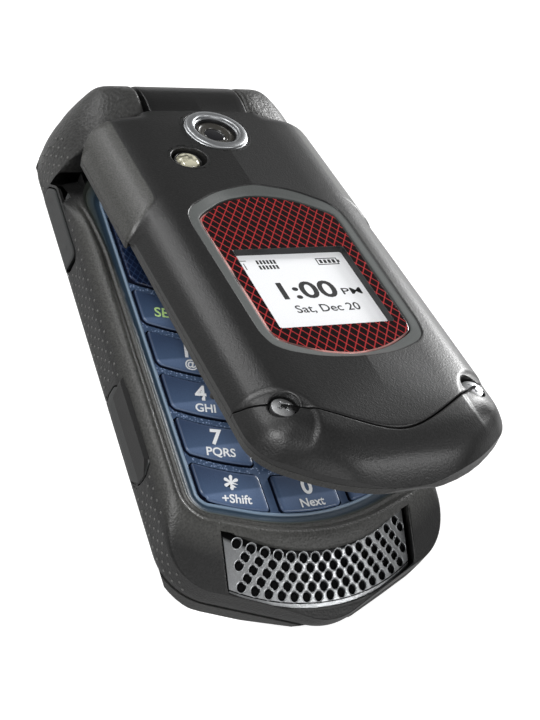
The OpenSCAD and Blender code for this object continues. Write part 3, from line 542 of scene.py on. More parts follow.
GLASS = moulded("cover_glass", (12, 13, 16), .06, .4, .02, .1, .1, Coat_Weight=1.0, Coat_Roughness=.03)
LENS = moulded("lens_glass", (20, 20, 24), .05, .6, .02, .2, .2, Coat_Weight=1.0, Coat_Roughness=.02)
LENS_BARREL = moulded("lens_barrel", (58, 56, 52), .3, .25, .2, .12, .06)
LATTICE, NET_KEY, KEY, DECK, BORDER, LCD = (lattice_finish(), blue_mesh_finish(), key_face_finish(), deck_finish(),
                                            border_finish(), lcd_finish())
# painted shade: the keys' side walls dark navy, so the gaps round the keys look shadowed
KEY_SIDE_SHADE = moulded("key_side_painted_shade", (14, 20, 40), .45, .2, .2, .12, .08)
INK = moulded("display_ink", (18, 18, 20), .6, .2, .05, .1, .05)
WHITE_PRINT = moulded("white_print", (238, 240, 242), .5, .2, .05, .03, .02)
GREEN_PRINT = moulded("green_print", (196, 232, 150), .5, .2, .05, .04, .02)
RED_PRINT = moulded("red_print", (222, 96, 84), .5, .2, .05, .04, .02)
DOME = clear_finish("flash_dome", (236, 232, 205), .12, .35)
OK_FACE = moulded("ok_key_face", (178, 184, 194), .35, .2, .15, .08, .05)
KEPT_FINISHES = (
    (RUBBER, "housing_seal cover_seal lid_bumpers port_door"), (DECK, "keypad_bezel"), (SILVER, "dome_sheet"),
    (STEEL, "housing_screws vibration_motor card_holder usb_connector side_switches hinge_cam hinge_pin cover_latch "
            "lid_screws"),
    (BLACK, "key_membrane speakers earpiece"), (BOARD, "main_board lid_board"), (GRILLE, "speaker_grille"),
    (NET, "grille_mesh"), (CELL, "battery"), (GOLD, "battery_contacts antenna"), (FLEX, "lid_flex"),
    (PANEL, "main_display"), (GLASS, "main_window"), (LCD, "outer_display"), (LATTICE, "outer_window"))


def frame_finishes():
    """The CAD meshes that stay: each gets its own finish, or else the shell's."""
    own = {name: finish for finish, names in KEPT_FINISHES for name in names.split()}
    for name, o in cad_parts.items():
        o.data.materials.clear()
        o.data.materials.append(own.get(name, SHELL))


# ---- the lid, drawn closed ----

CREST = 21.3
TIP, CORNER = end_runs(22.2, -48.5, 30, 34, 8)
SHOULDER_ARC = arc(15.8, 30.3, 8, 0, 90)
LID_SIDE = np.concatenate([TIP, CORNER[1:], [[22.7, 8.1], [23.6, 9.9]], SHOULDER_ARC[:4]])
SEAM_X = 22.246


def seam(x):
    """The curve between the two outer covers: a hyperbola with its low point in the middle."""
    return -41.6 + .6 * (np.sqrt(x * x + 36) - 6)


def lid_height(x, y):
    """Height of the closed lid's outside: the least of straight crown, shoulder, end and edge slopes with rounded corners,
    with the proud shoulders, less the bowls round the two screws."""
    ax = np.abs(x)
    d = gap_to(ax, y, LID_SIDE)
    crown, slope = CREST - .062 * ax, (20.75 - .1917 * (ax - 12), .35)
    plain = least(crown, slope, (19.6 - .667 * (ax - 18), 1.1), (17.6 - 1.412 * (ax - 21), 1.3),
                  (17.9 + .667 * (d - 1.7), .8), (15.5 + 1.45 * d, .8))
    proud = least(crown, slope, (19.74 - .411 * (ax - 18), .5), (17.75 - 2.2 * (ax - 22.87), 1.1), (15.4 + 2.5 * d, .8))
    low = ((ax - 19) * 5.7 + (y - 13) * 6.7) / 8.797
    shape = rise(-.3, .6, low) * rise(-3.5, -.2, ax - 17.9)
    z = plain + (proud - plain) * shape * .32
    z = least(z, (20.7 + .08 * (y + 38), .4), (19.3 + .28 * (y + 43), .8), (16.9 + .686 * (y + 46.5), 1.2),
              (14.2 + 1.35 * (y + 48.5), 1.2), (20.7 - .075 * (y - 38.3), .5))
    back = np.clip((y - 35.6) / 2.75, 0, 1) * rise(9.5, 13, ax)
    z = z - 1.8 * (1 - np.sqrt(1 - back * back * .98))
    return z - .34 * rise(6.9, 5.7, off((19.4, -37.4), ax, y)) * rise(-43, -39.5, y)


def rolled(x, y, side):
    """The lid's height, rolled over next to the seam; side is 1 above the seam and -1 below it."""
    near = np.clip((seam(x) + .14 * side - y) * side + .22, 0, .22) / .22
    return lid_height(x, y) - .12 * near ** 2


def window_line(w):
    """The outer window's outline, grown by w."""
    x, low, top = 12.7 + w, -26.2, 13.9
    return softened(mirrored([[0, low - w], [x * .45, low + 1 - w], [x - 1.8, low + 3.6 - w], [x - .3, low + 5],
                              [x + .2, top - 6.6], [x - .6, top - 5.2 + w], [x * .5, top - 1.3 + w], [0, top + w]]), 1.3)


def lid_cover():
    """Rays from a point in the window to the cover's edge: rows near the bezel and near the edge keep fixed distances
    from them, the others share what is between. Right half, then its mirror image."""
    mid = np.array([0, -6.])
    seam_x = np.linspace(SEAM_X, 0, 70)
    edge = runs(([[0, 38.3], [9.7, 38.3], [15.8, 38.3]], 50), (SHOULDER_ARC[::-1], 44), ([[23.8, 30.3], [23.6, 9.9]], 60),
                ([[23.6, 9.9], [22.7, 8.1]], 8), ([[22.7, 8.1], [SEAM_X, -31.38]], 120))
    edge = np.concatenate([edge, np.stack([seam_x, seam(seam_x) + .14], -1)[1:]])
    rel = edge - mid
    angle, reach = np.arctan2(rel[:, 1], rel[:, 0]), np.hypot(*rel.T)
    start = ray_lengths(mid, angle, window_line(1.8))
    inner = start[:, None] + np.array([0, .06, .14, .28, .55])
    outer = reach[:, None] - np.array([.9, .55, .3, .15, .06, 0])
    t = np.linspace(0, 1, 50)[1:-1]
    r = np.concatenate([inner, inner[:, -1:] + (outer[:, :1] - inner[:, -1:]) * t, outer], 1)
    x, y = np.moveaxis(polar(mid, r, angle[:, None], 0), -1, 0)[:2]
    centred(x)
    z = rolled(x, y, 1)
    z[:, :3] -= np.array([.05, .012, 0])
    hole = (off(CAMERA, x, y) < 6.2) | (off(SCREWS[0], x, y) < 2.35)
    flash_hole = np.hypot((x + FLASH[0]) / 1.12, y - FLASH[1]) < 3.1
    top = sheet(at(x, y, z), toward=UP, cut=hole)
    left = flipped_x(sheet(at(x, y, z), toward=UP, cut=hole | flash_hole))
    # the bezel's own step, floor and window seat
    rim = z[:, 0]
    rows = [polar(mid, start + d, angle, h) for d, h in ((0, rim), (-.05, rim - .06), (-.1, rim - .1))]
    for w in (1.66, 1.35, 1.05, .75, .45, .22, .16, .1):
        seat = {.22: 20.09, .16: 20.05, .1: 19.25}.get(w, 20.1)
        h = np.where(w > .4, 20.1 + (rim - .11 - 20.1) * (w - .4) / 1.3, seat)
        rows.append(polar(mid, ray_lengths(mid, angle, window_line(w)), angle, h))
    band = np.stack(rows)
    centred(band[..., 0])
    step, floor = sheet(band[:4], toward=UP), sheet(band[3:], toward=UP)
    # the skirt under the edge, kept clear of the hinge barrel behind the shoulders
    keep = (edge[:, 0] > 9.65) | (edge[:, 1] < 38)
    e, ze = edge[keep], z[keep, -1]
    zs = ze + (14.42 - ze) * np.array([0, .06, .3, .6, .8, 1])[:, None]
    ys = np.minimum(e[:, 1][None], HINGE_Y - np.sqrt(np.maximum(CLEAR_R ** 2 - (zs - HINGE_Z) ** 2, 0)))
    skirt = sheet(at(e[:, 0][None], ys, zs), toward=(1, 0, 0))
    # the neck over the hinge: from the shoulders level to the barrel, then round it
    a = np.radians(np.linspace(90, 0, 22))
    ny = np.r_[38.3, 39.5, 41, 42.4, HINGE_Y + HINGE_R * np.cos(a)]
    nz = np.r_[20.7, 20.74, 20.78, 20.8, HINGE_Z + HINGE_R * np.sin(a)]
    nx = np.r_[0, 2, 4, 6, 8, 9.2, 9.5, 9.66, NECK_X]
    drop = np.r_[0, 0, 0, 0, 0, 0, .04, .14, .3][:, None]
    crown = .062 * nx[:, None] * (1 - rise(38.3, 42.4, ny))[None]
    bend = (ny - HINGE_Y) / HINGE_R * (ny > HINGE_Y)
    upward = np.sqrt(np.maximum(1 - bend ** 2, 0))
    neck = at(nx[:, None], ny[None] - drop * bend[None], nz[None] - crown - drop * upward[None])
    over = sheet(neck, toward=(0, .5, 1))
    side = sheet(np.stack([neck[-1], at(NECK_X, np.minimum(ny, 50.6), np.minimum(nz, 14.4))]), toward=(1, 0, 0))
    # lips of the round openings
    camera_lip = opening(arc(*CAMERA, 5.92, 0, 360, 96)[:-1], lid_height, 1.4)
    flash_lip = opening(arc(0, 0, 2.85, 0, 360, 72)[:-1] * [1.1, 1] + FLASH, lid_height, 1.9, soft=.2)
    sheets = [top, left, *both(over, side, skirt, step), camera_lip, flash_lip]
    sheets += [half_lip(sx, sy, 1) for sx, sy in SCREWS]
    piece("lid_cover_skin", sheets, "lid", lid_finish(), ["lid_outer_cover"], lid=True, crease=True)
    piece("bezel_band", both(floor), "lid", BEZEL, lid=True)


def half_lip(sx, sy, side):
    """The edge of a screw pocket on one side of the seam: an arc of lip rows and wall rows."""
    a = np.linspace(0, 2 * math.pi, 97)
    x, y = sx + POCKET_R * np.cos(a), sy + POCKET_R * np.sin(a)
    a = a[(y - seam(x)) * side > .08]
    jump = np.nonzero(np.diff(a) > .2)[0]
    if len(jump):
        a = np.r_[a[jump[0] + 1:] - 2 * math.pi, a[:jump[0] + 1]]
    rows = []
    for d, dz in ((.5, -.03), (.35, .012), (.12, .012), (.04, -.04), (0, -.14), (0, -9)):
        x, y = sx + (POCKET_R + d) * np.cos(a), sy + (POCKET_R + d) * np.sin(a)
        y = np.maximum(y, seam(x) + .14) if side > 0 else np.minimum(y, seam(x) - .14)
        rows.append(at(x, y, np.maximum(rolled(x, y, side) + dz, 17.9)))
    return sheet(np.stack(rows), toward=UP)


def chin_cover():
    """Below the seam: straight lines from the seam to the lid's edge, the two paired by their shares of length."""
    n = 150
    low = spaced(np.concatenate([TIP, CORNER[1:], [[SEAM_X, -31.5]]]), n)
    sx = np.linspace(0, SEAM_X, n + 1)
    high = np.stack([sx, seam(sx) - .14], -1)
    t = np.r_[0, .006, .015, .03, np.linspace(.05, .95, 44), .97, .985, .995, 1][:, None, None]
    x, y = np.moveaxis(high + (low - high) * t, -1, 0)
    z = rolled(x, y, -1)
    top = sheet(at(x, y, z), toward=UP, cut=off(SCREWS[0], x, y) < 2.35)
    zs = z[-1] + (14.42 - z[-1]) * np.array([0, .06, .3, .7, 1])[:, None]
    skirt = sheet(at(*low.T, zs), toward=(0, -1, 0))
    wall = sheet(np.stack([at(*high.T, z[0]), at(*high.T, z[0] - 1.4)]), toward=(0, 1, 0))
    sheets = both(top, skirt, wall) + [half_lip(sx, sy, -1) for sx, sy in SCREWS]
    piece("chin_cover_skin", sheets, "lid", lid_finish(), ["lid_chin_cover"], lid=True, crease=True)


def lid_finish():
    """Soft-touch charcoal with a painted highlight on the two shoulders and painted shade on the neck, by the plan UV
    of the closed lid.
    """
    n = material("lid_soft_touch", Roughness=.38)
    x, y = n.plan()
    ax = n.sum("ABSOLUTE", x)
    slant = n.sum("ADD", n.sum("MULTIPLY", n.sum("SUBTRACT", ax, 19.0), 5.7),
                  n.sum("MULTIPLY", n.sum("SUBTRACT", y, 13.0), 6.7))
    edge = n.sum("SMOOTH_MIN", n.sum("SUBTRACT", ax, 17.9), n.sum("MULTIPLY", slant, .1137), 1.6)
    # painted highlight: the shoulders coloured lighter than the rest of the lid
    shoulders = n.mix(n.ramp(edge, -.1, .15), tint(25, 25, 25), tint(64, 64, 62))
    # painted shade: the neck coloured near-black
    return n.speckled(n.mix(n.ramp(y, 36.0, 40.0), shoulders, tint(8, 8, 8)), .26, .42, .45)


def outer_window():
    """Glossy lattice round the display: rays from the display's middle to its recess and to the window's edge."""
    mid = np.array([0, -9.85])
    hole = softened([[-10.2, -19.3], [10.2, -19.3], [10.2, -.4], [-10.2, -.4]], .25, 2)
    corners = np.arctan2(hole[:, 1] - mid[1], hole[:, 0] - mid[0])
    a = np.unique(np.round(np.r_[np.linspace(-math.pi, math.pi, 721), corners], 6))
    inner, outer = ray_lengths(mid, a, hole), ray_lengths(mid, a, window_line(0))
    rows = [(inner, 18.78), (inner, 19.9), (inner + .03, 19.97), (inner + .1, 20.0)]
    rows += [(inner + (outer - inner) * t, 20.0) for t in (.3, .6, .85)]
    rows += [(outer - .3, 20.0), (outer - .2, 19.985), (outer - .07, 19.92), (outer, 19.8), (outer, 19.25)]
    grid = np.stack([polar(mid, r, a, z) for r, z in rows])
    well = grid[:4]
    facing = np.cross(well[1, 0] - well[0, 0], well[0, 1] - well[0, 0]) @ (*(mid - well[0, 0, :2]), 0)
    if facing < 0:
        well = well[::-1]
    for name, part, finish, instead in (
            ("window_frame", sheet(grid[3:-4], toward=UP), LATTICE, ["outer_window"]),
            ("window_edge", sheet(grid[-5:], toward=UP), edge_finish(), ()),
            ("window_well", (well, well[..., :2], None), BLACK, ())):
        piece(name, [part], "lid", finish, instead, lid=True, sharp=50)


def edge_finish():
    """The window's polished edge: a painted highlight in pale pink at the left and the bottom, dark red elsewhere."""
    n = material("window_edge", Roughness=.2)
    x, y = n.plan()
    # painted highlight: pale pink at the left and bottom edges
    lit = n.sum("MAXIMUM", n.ramp(x, -10.0, -12.0), n.ramp(y, -22.0, -25.0))
    share = n.sum("MULTIPLY", lit, n.ramp(n.noise(220.0), .3, .6))
    return n.dressed(n.mix(share, tint(44, 10, 12), tint(206, 150, 144)))


def lettering(name, words, size, place, z, body, finish, width=None, thick=0.0, lid=False, lean=0.0):
    """Words as a flat mesh, upright towards the hinge, centred on place, scaled to a given width if there is one."""
    curve = bpy.data.curves.new(name, "FONT")
    curve.body, curve.size, curve.align_x, curve.align_y = words, size, "CENTER", "CENTER"
    curve.offset, curve.resolution_u = thick, 4
    o = in_scene(name, curve)
    bpy.context.view_layer.update()
    mesh = bpy.data.meshes.new_from_object(o.evaluated_get(bpy.context.evaluated_depsgraph_get()))
    bpy.data.objects.remove(o)
    bpy.data.curves.remove(curve)
    co = np.zeros(len(mesh.vertices) * 3)
    mesh.vertices.foreach_get("co", co)
    x, y, _ = co.reshape(-1, 3).T
    if width:
        x = (x - (x.min() + x.max()) / 2) * width / (x.max() - x.min())
    y = y - (y.min() + y.max()) / 2
    c, s = math.cos(lean), math.sin(lean)
    p = at(place[0] + x * c - y * s, place[1] + x * s + y * c, z)
    mesh.vertices.foreach_set("co", ((opened(p) if lid else p) * .001).astype(np.float32).ravel())
    mesh.update()
    mesh.materials.clear()
    mesh.materials.append(finish)
    o = in_scene(name, mesh)
    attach(o, body)


def display_face():
    """A generic clock: hour, date, signal bars and a battery sign, printed on the pale display."""
    z = 18.765
    for name, words, size, place, width, thick in (("clock_hour", "1:00", 5.6, (-.3, -9.5), 10.2, .12),
                                                   ("clock_half", "PM", 2.2, (7.4, -10.3), 3.6, .02),
                                                   ("clock_date", "Sat, Dec 20", 2.5, (1.2, -14.1), 11.6, .025)):
        lettering(name, words, size, place, z, "lid", INK, width, thick, lid=True)
    # low and high corners: two rows of bars, the battery's frame and its cells, the signal's mast
    boxes = [(-6.4 + .62 * k, low, -6.0 + .62 * k, low + 1) for low in (-2.75, -4.05) for k in range(6)]
    boxes += [(4.6, -3.5, 8.6, -3.3), (4.6, -2.0, 8.6, -1.8), (4.6, -3.5, 4.8, -1.8), (8.4, -3.5, 8.6, -1.8),
              (8.6, -2.95, 8.9, -2.35)]
    boxes += [(5.1 + .8 * k, -3.1, 5.65 + .8 * k, -2.2) for k in range(4)]
    boxes += [(-8.85, -4.0, -8.7, -2.4), (-9.45, -1.85, -8.1, -1.7)]
    sheets = [sheet(at(np.array([[x0, x0], [x1, x1]]), np.array([[y0, y1], [y0, y1]]), z), toward=UP)
              for x0, y0, x1, y1 in boxes]
    piece("display_signs", sheets, "lid", INK, lid=True)


def camera_parts():
    """Ring, barrel and lens of the camera, and the flash in its dark cup: profiles turned round upright axes."""
    ring = [(3.72, 19.95), (3.72, 20.75), (3.78, 20.86), (3.95, 20.9), (4.05, 20.98), (4.12, 21.3), (4.22, 21.44),
            (4.4, 21.52), (4.9, 21.5), (5.3, 21.42), (5.5, 21.34), (5.6, 21.22), (5.64, 21.02), (5.72, 20.98), (5.8, 20.9),
            (5.8, 19.95)]
    groove = [(3.7, 20.9), (3.66, 20.98), (3.55, 20.98), (3.5, 20.85), (3.5, 20.3)]
    barrel = [(3.5, 20.3), (3.3, 20.42), (3.0, 20.46), (2.9, 20.36), (2.5, 20.28), (2.4, 20.34), (2.0, 20.24), (1.9, 20.1)]
    lens = [(1.9, 20.1), (1.7, 20.22), (1.4, 20.32), (1.0, 20.4), (.5, 20.44), (0, 20.46)]
    cup = [(2.85, 19.0), (2.6, 18.9), (2.4, 18.9), (0, 18.9)]
    lip = [(2.55, 19.0), (2.5, 19.9), (2.4, 20.05), (2.25, 20.1), (2.15, 20.0), (2.15, 19.3)]
    dome = [(2.15, 19.4), (2.13, 19.75), (2.0, 20.1), (1.7, 20.4), (1.2, 20.65), (.6, 20.77), (0, 20.8)]
    for name, profile, slot, finish, instead in (("camera_ring_skin", ring, "silver", SILVER, ["camera_ring"]),
                                                 ("camera_groove", groove, "lens", BLACK, ()),
                                                 ("camera_barrel", barrel, "lens", LENS_BARREL, ["camera_module"]),
                                                 ("camera_lens", lens, "lens", LENS, ())):
        piece(name, [turned(profile, CAMERA)], "lid", finish, instead, lid=True)
    piece("flash_cup", [turned(cup, FLASH, 72), turned(lip, FLASH, 72)], "lid", BLACK, lid=True)
    piece("flash_dome_skin", [turned(dome, FLASH, 72)], "lid", DOME, ["flash_lens"], lid=True)


def lid_screw_heads():
    """Cross-head screws: a shallow dome on a polar grid, its points inside the cross sunk."""
    for k, place in enumerate(SCREWS):
        a = np.linspace(0, 2 * math.pi, 129)[None]
        r = np.r_[0, np.linspace(.06, 1.3, 30), 1.45, 1.6, 1.7, 1.78, 1.8, 1.8][:, None]
        x, y = r * np.cos(a), r * np.sin(a)
        z = 18.85 + .36 * (1 - (r / 1.8) ** 2) + 0 * a
        z[-2:] = [[18.5], [18.0]]
        t = math.radians(20)
        u, v = np.abs(x * math.cos(t) + y * math.sin(t)), np.abs(-x * math.sin(t) + y * math.cos(t))
        z -= .45 * np.maximum(rise(.26, .17, u) * rise(1.02, .9, v), rise(.26, .17, v) * rise(1.02, .9, u))
        head = sheet(at(place[0] + x, place[1] + y, z), toward=UP)
        piece(f"lid_screw_head_{k + 1}", [head], "lid", STEEL, ["lid_screws"], lid=True, sharp=30)
        floor = turned([(POCKET_R, 17.92), (1.75, 17.9)], place)
        piece(f"screw_pocket_{k + 1}", [floor], "lid", BLACK, lid=True)


# ---- the base ----

CHIN_TIP, CHIN_CORNER = end_runs(HALF_W, CHIN_Y, 11, 22, 10)
CHIN_EDGE = np.concatenate([CHIN_TIP, CHIN_CORNER[1:], [[HALF_W, 30]]])
DECK_TIP, DECK_CORNER = end_runs(20.5, -36, 38, 18, 4)
DECK_BACK = arc(15.5, 28.1, 5, 0, 90)
DECK_HALF = np.concatenate([DECK_TIP, DECK_CORNER[1:], DECK_BACK, [[0, 33.1]]])
DECK_LINE = mirrored(DECK_HALF)


def grille_slope_height(x, y):
    """Height of the chin's cone: it falls with the distance from its axis."""
    return RIM_Z - (np.hypot(x, y + 3) - 35.9) / CONE_FALL


def widening(y):
    """How far the keypad's bank stands back towards the hinge, in mm."""
    return 1.5 * rise(16, 32, y)


def inner_bank(dd):
    """Height beside the keypad by distance from the deck: a slope, a low ridge, a dark valley, then the bank of the rim."""
    return np.interp(dd, [0, .15, .35, .55, .7, .82, .95, 1.15, 1.35, 1.6, 1.9, 2.2, 2.5, 3.2],
                     [10.7, 10.9, 11.15, 11.34, 11.42, 11.42, 11.34, 11.22, 11.2, 11.4, 11.78, 12.08, 12.26, 12.5])


def rim_height(x, y, d):
    """Height of the base's top: the least of the rounded shoulder by distance from the outline, the chin's cone,
    the bank beside the keypad and the level rim."""
    edge = np.interp(d, [0, .1, .2, .45, .8, 1.2, 1.75, 2.3, 2.8, 3.4, 60],
                     [3.6, 6.6, 8.6, 9.75, 10.5, 11.05, 11.6, 11.98, 12.2, 12.36, 13])
    bank = inner_bank(np.maximum(gap_to(np.abs(x), y, DECK_HALF) - widening(y), 0))
    z = least(edge, (12.32, .5), (bank, .4))
    return least(z, (grille_slope_height(x, y), 1.6))


def wall_inset(z):
    """How far the side wall and its rounded shoulder stand inside the outline, by height."""
    return np.interp(z, [2.5, 3.0, 3.6, 6.6, 8.6, 9.75, 10.5, 11.05, 11.6], [.22, .1, 0, .1, .2, .45, .8, 1.2, 1.75])


def side_run(tip, corner, half_w):
    """The right half of an outline or of the deck's edge, from the chin's middle to the hinge; all have as many points."""
    return runs((tip, 34), ([tip[-1], corner[0]], 44), (corner, 46), ([corner[-1], [half_w, 28.1]], 190),
                ([[half_w, 28.1], [half_w, 36.45]], 26))


def grille_line(half=17.35, d=.12):
    """The grille's opening in plan: two arcs about the cone's axis, joined at the ends."""
    low, high = 33.6 + d, CONE_R - d
    a0, a1 = math.degrees(math.asin(half / low)), math.degrees(math.asin(half / high))
    arcs = [arc(0, CONE_Y, low, -90 - a0, -90 + a0, 60), arc(0, CONE_Y, high, -90 + a1, -90 - a1, 60)]
    return softened(np.concatenate(arcs), .5, 2)


def inside(x, y, line):
    """Which points are inside a closed outline, by counting crossings."""
    hit = np.zeros(np.shape(x), bool)
    for (ax, ay), (bx, by) in zip(line, np.roll(line, -1, 0)):
        if ay != by:
            hit ^= ((ay > y) != (by > y)) & (x < (bx - ax) * (y - ay) / (by - ay) + ax)
    return hit


def base_top(x, y):
    """The base's top by plan position alone, near the chin."""
    return rim_height(x, y, gap_to(np.abs(x), y, CHIN_EDGE))


SIDE_OPENINGS = {
    "rocker": (-1, [(19.9, 2.9), (35.4, 2.9), (36.2, 3.6), (36.2, 6.2), (33.8, 8.6), (20.0, 8.6), (18.9, 7.5),
                    (18.9, 4.0)]),
    "port": (-1, [(-21.8, 3.0), (-7.4, 3.0), (-6.2, 4.4), (-6.2, 7.6), (-8.4, 10.5), (-22.4, 10.5), (-23.8, 8.6),
                  (-23.8, 5.6)]),
    "side_key": (1, [(13.4, 3.2), (22.6, 3.2), (23.2, 3.8), (23.2, 7.4), (22.6, 8.0), (13.4, 8.0), (12.8, 7.4),
                     (12.8, 3.8)]),
}
ROCKER_LINE = [(19.9, 3.1), (35.3, 3.1), (36.0, 3.8), (36.0, 6.1), (33.7, 8.4), (20.3, 8.4), (19.7, 7.4)]


def wall_point(y, z, side, sunk=0.0):
    """A point on the side wall or its rounded shoulder, sunk inwards by some distance."""
    return at(side * (HALF_W - wall_inset(z) - sunk), y, z)


def wall_fan(rings, side):
    """Closed rows on the side wall, from pairs of an outline in y and height and how far it's sunk."""
    rows = [wall_point(*line.T, side, sunk) for line, sunk in rings]
    return sheet(np.stack([np.concatenate([r, r[:1]]) for r in rows]), toward=(side, 0, 0))


def wall_pocket(line, side, depth=.85):
    """Lip, wall and floor of a pocket in the side wall, from its outline in y and height."""
    line = softened(line, .3, 2)
    mid = line.mean(0)
    rings = [(offset(line, d), s) for d, s in ((.5, .03), (.36, -.01), (.1, -.01), (.03, .03), (0, .12), (0, depth))]
    return wall_fan(rings + [(mid + (line - mid) * t, depth) for t in (.5, 0)], side)


def knuckle_line():
    """The knuckle's section in x and height, from its inner top corner to the wall's foot, smoothed by running means."""
    q = spaced([[GAP_X, 20.8], [13.5, 20.3], [17, 19.5], [19.7, 17.9], [21.8, 15.8], [23.4, 13.5], [24.5, 11.2],
                [25.2, 9.4], [25.5, 8.0], [25.65, 6.2], [25.75, 3.6], [25.53, FOOT_Z]], 110)
    for _ in range(5):
        q[5:-5] = sum(q[5 + k:len(q) - 5 + k] for k in range(-5, 6)) / 11
    return q


KNUCKLE_LINE = knuckle_line()


def body_skin():
    """The front housing: wall rows up the outline, then plan rows to the deck's edge under the rim's height field;
    the two knuckles, the trough between them and the wall behind."""
    outer, inner = side_run(CHIN_TIP, CHIN_CORNER, HALF_W), side_run(DECK_TIP, DECK_CORNER, 20.5)
    t_dir = np.gradient(outer, axis=0)
    t_dir /= np.hypot(*t_dir.T)[:, None]
    out = np.stack([t_dir[:, 1], -t_dir[:, 0]], -1)
    wall_z = (FOOT_Z, 3.0, 3.6, 4.4, 5.2, 6.0, 6.8, 7.4, 8.0)
    plan_d = (.2, .28, .38, .5, .65, .8, .95, 1.1, 1.3, 1.5, 1.7, 1.9, 2.1, 2.35, 2.6, 2.85)
    rows = []
    for z in wall_z:
        z = least(z + 0 * outer[:, 0], (grille_slope_height(*outer.T), .8))
        rows.append(at(*(outer - out * wall_inset(z)[:, None]).T, z))
    plan = [(outer - out * d, d) for d in plan_d]
    start, far = plan[-1][0], gap_to(*inner.T, outer)
    plan += [(start + (inner - start) * t, plan_d[-1] + (far - plan_d[-1]) * t) for t in np.linspace(0, 1, 38)[1:]]
    rows += [at(*q.T, np.maximum(rim_height(*q.T, d), FOOT_Z)) for q, d in plan]
    grid = np.stack(rows)
    x, y, z = np.moveaxis(grid, -1, 0)
    centred(x)
    foot = grid[-1].copy()
    foot[:, 2] = 9.7
    grille = grille_line()
    hole = inside(x, y, offset(grille, .14)) & (y < -30) & (z < 11.4)
    hole[:len(wall_z) + 1] = False
    cut = {1: hole.copy(), -1: hole.copy()}
    for side, line in SIDE_OPENINGS.values():
        cut[side] |= inside(y, z, offset(softened(line, .3, 2), .12)) & (x > 23.5)
    edge = sheet(np.stack([grid[-1], foot]), toward=(-1, 0, 0))
    sheets = [face_out(sheet(grid, cut=cut[1])), face_out(flipped_x(sheet(grid, cut=cut[-1]))), *both(edge)]
    sheets += [wall_pocket(line, side) for side, line in SIDE_OPENINGS.values()]
    room = gap_to(np.abs(grille[:, 0]), grille[:, 1], CHIN_EDGE) - .1
    sheets.append(opening(grille, base_top, 1.5, lip=.7, soft=.14, room=room))

    # behind the deck, up to the hinge
    back = runs((DECK_BACK, 30), ([[15.5, 33.1], [GAP_X, 33.1]], 16), ([[GAP_X, 33.1], [0, 33.1]], 24))
    t = np.linspace(0, 1, 22)[:, None]
    x = back[:, 0] + (np.r_[np.linspace(20.5, 15.5, 31), back[31:, 0]] - back[:, 0]) * t
    y = back[:, 1] + (36.6 - back[:, 1]) * t
    z = rim_height(x, y, 3 + 0 * x)
    strip = sheet(at(x, y, z), toward=UP)
    step = sheet(np.stack([at(*back.T, z[0]), at(*back.T, 9.7)]), toward=(0, -1, 0))

    # a knuckle: its cross-section, cut back to the plan's corner, for each angle round the barrel
    a = np.radians(np.r_[-14, -10, -6, -2, np.linspace(2, 180, 66)])
    ya, za = HINGE_Y - HINGE_R * np.cos(a), HINGE_Z + HINGE_R * np.sin(a)
    ya[:3], za[:3] = [36.3, 36.35, 36.5], [10.0, 11.6, 12.9]
    q = KNUCKLE_LINE
    lim = 14.75 + np.sqrt(np.maximum(121 - np.maximum(ya - 40, 0) ** 2, 0))
    x = GAP_X + (q[:, 0][None] - GAP_X) * ((lim[:, None] - GAP_X) / (HALF_W - GAP_X))
    wide, tight = (least(q[:, 1][None] + 0 * x, (za[:, None] + 0 * x, k)) for k in (1.8, .5))
    share = rise(12, 17, q[:, 0])[None]
    z = np.where(q[:, 0][None] < 17, tight * (1 - share) + wide * share, wide)
    z = np.where(x < 11, z - .35 * np.clip((11.0 - x) / .6, 0, 1) ** 2, z)
    y = ya[:, None] - .5 * rise(12.3, 10.8, z) * np.clip((ya[:, None] - 46) / 5, 0, 1)
    knuckle = at(x, y, z)
    cheek = sheet(np.stack([knuckle[:, 0], at(GAP_X, ya, np.minimum(za, HINGE_Z - 4))]), toward=(-1, 0, 0))
    zb = np.r_[13.6, 13.0, 12.3, 11.6, 10.8, 8, 5, 3.6, FOOT_Z][:, None]
    behind = sheet(at(np.linspace(GAP_X, 14.75, 8)[None], END_Y - .5 * rise(12.3, 10.8, zb), zb), toward=(0, 1, 0))
    gap = np.linspace(-GAP_X, GAP_X, 5)[None]
    low = sheet(at(gap, END_Y - .5, np.linspace(7.1, FOOT_Z, 6)[:, None]), toward=(0, 1, 0))
    ta = np.radians(np.linspace(170, 270, 24))
    ty, tz = np.r_[HINGE_Y + CLEAR_R * np.cos(ta), END_Y - .5], np.r_[HINGE_Z + CLEAR_R * np.sin(ta), 7.1]
    trough = sheet(at(gap, ty[:, None], tz[:, None]), toward=UP)
    sheets += [*both(strip, step, cheek, behind), low, trough]
    piece("front_housing_skin", sheets, "base", body_finish(), ["front_housing"])
    right = face_out(sheet(knuckle, toward=UP))
    piece("knuckle_skin_right", [right], "base", KNUCKLE)
    piece("knuckle_skin_left", [flipped_x(right)], "base", KNUCKLE)


def face_out(s):
    """A sheet turned over if most of its quads face the phone's middle."""
    mid = (s[0][1:, 1:] + s[0][:-1, :-1]) / 2
    outwards = at(np.sign(mid[..., 0]) * .6, np.where(mid[..., 1] < -38, -.4, 0), .6)
    return sheet(s[0], outwards, *s[1:])


def body_finish():
    """Soft-touch charcoal: darker on the side walls below the rim, by the height of each point."""
    n = material("body_soft_touch", Roughness=.44)
    high = n.ramp(n.axes(n.place())[2], .0092, .0112)
    return n.speckled(n.mix(high, tint(22, 22, 22), tint(62, 62, 60)), .32, 1.0, .4)


DOT_ROWS = (4.0, 5.1, 6.2, 7.3, 8.4, 9.5)
DOT_PITCH = 2.1


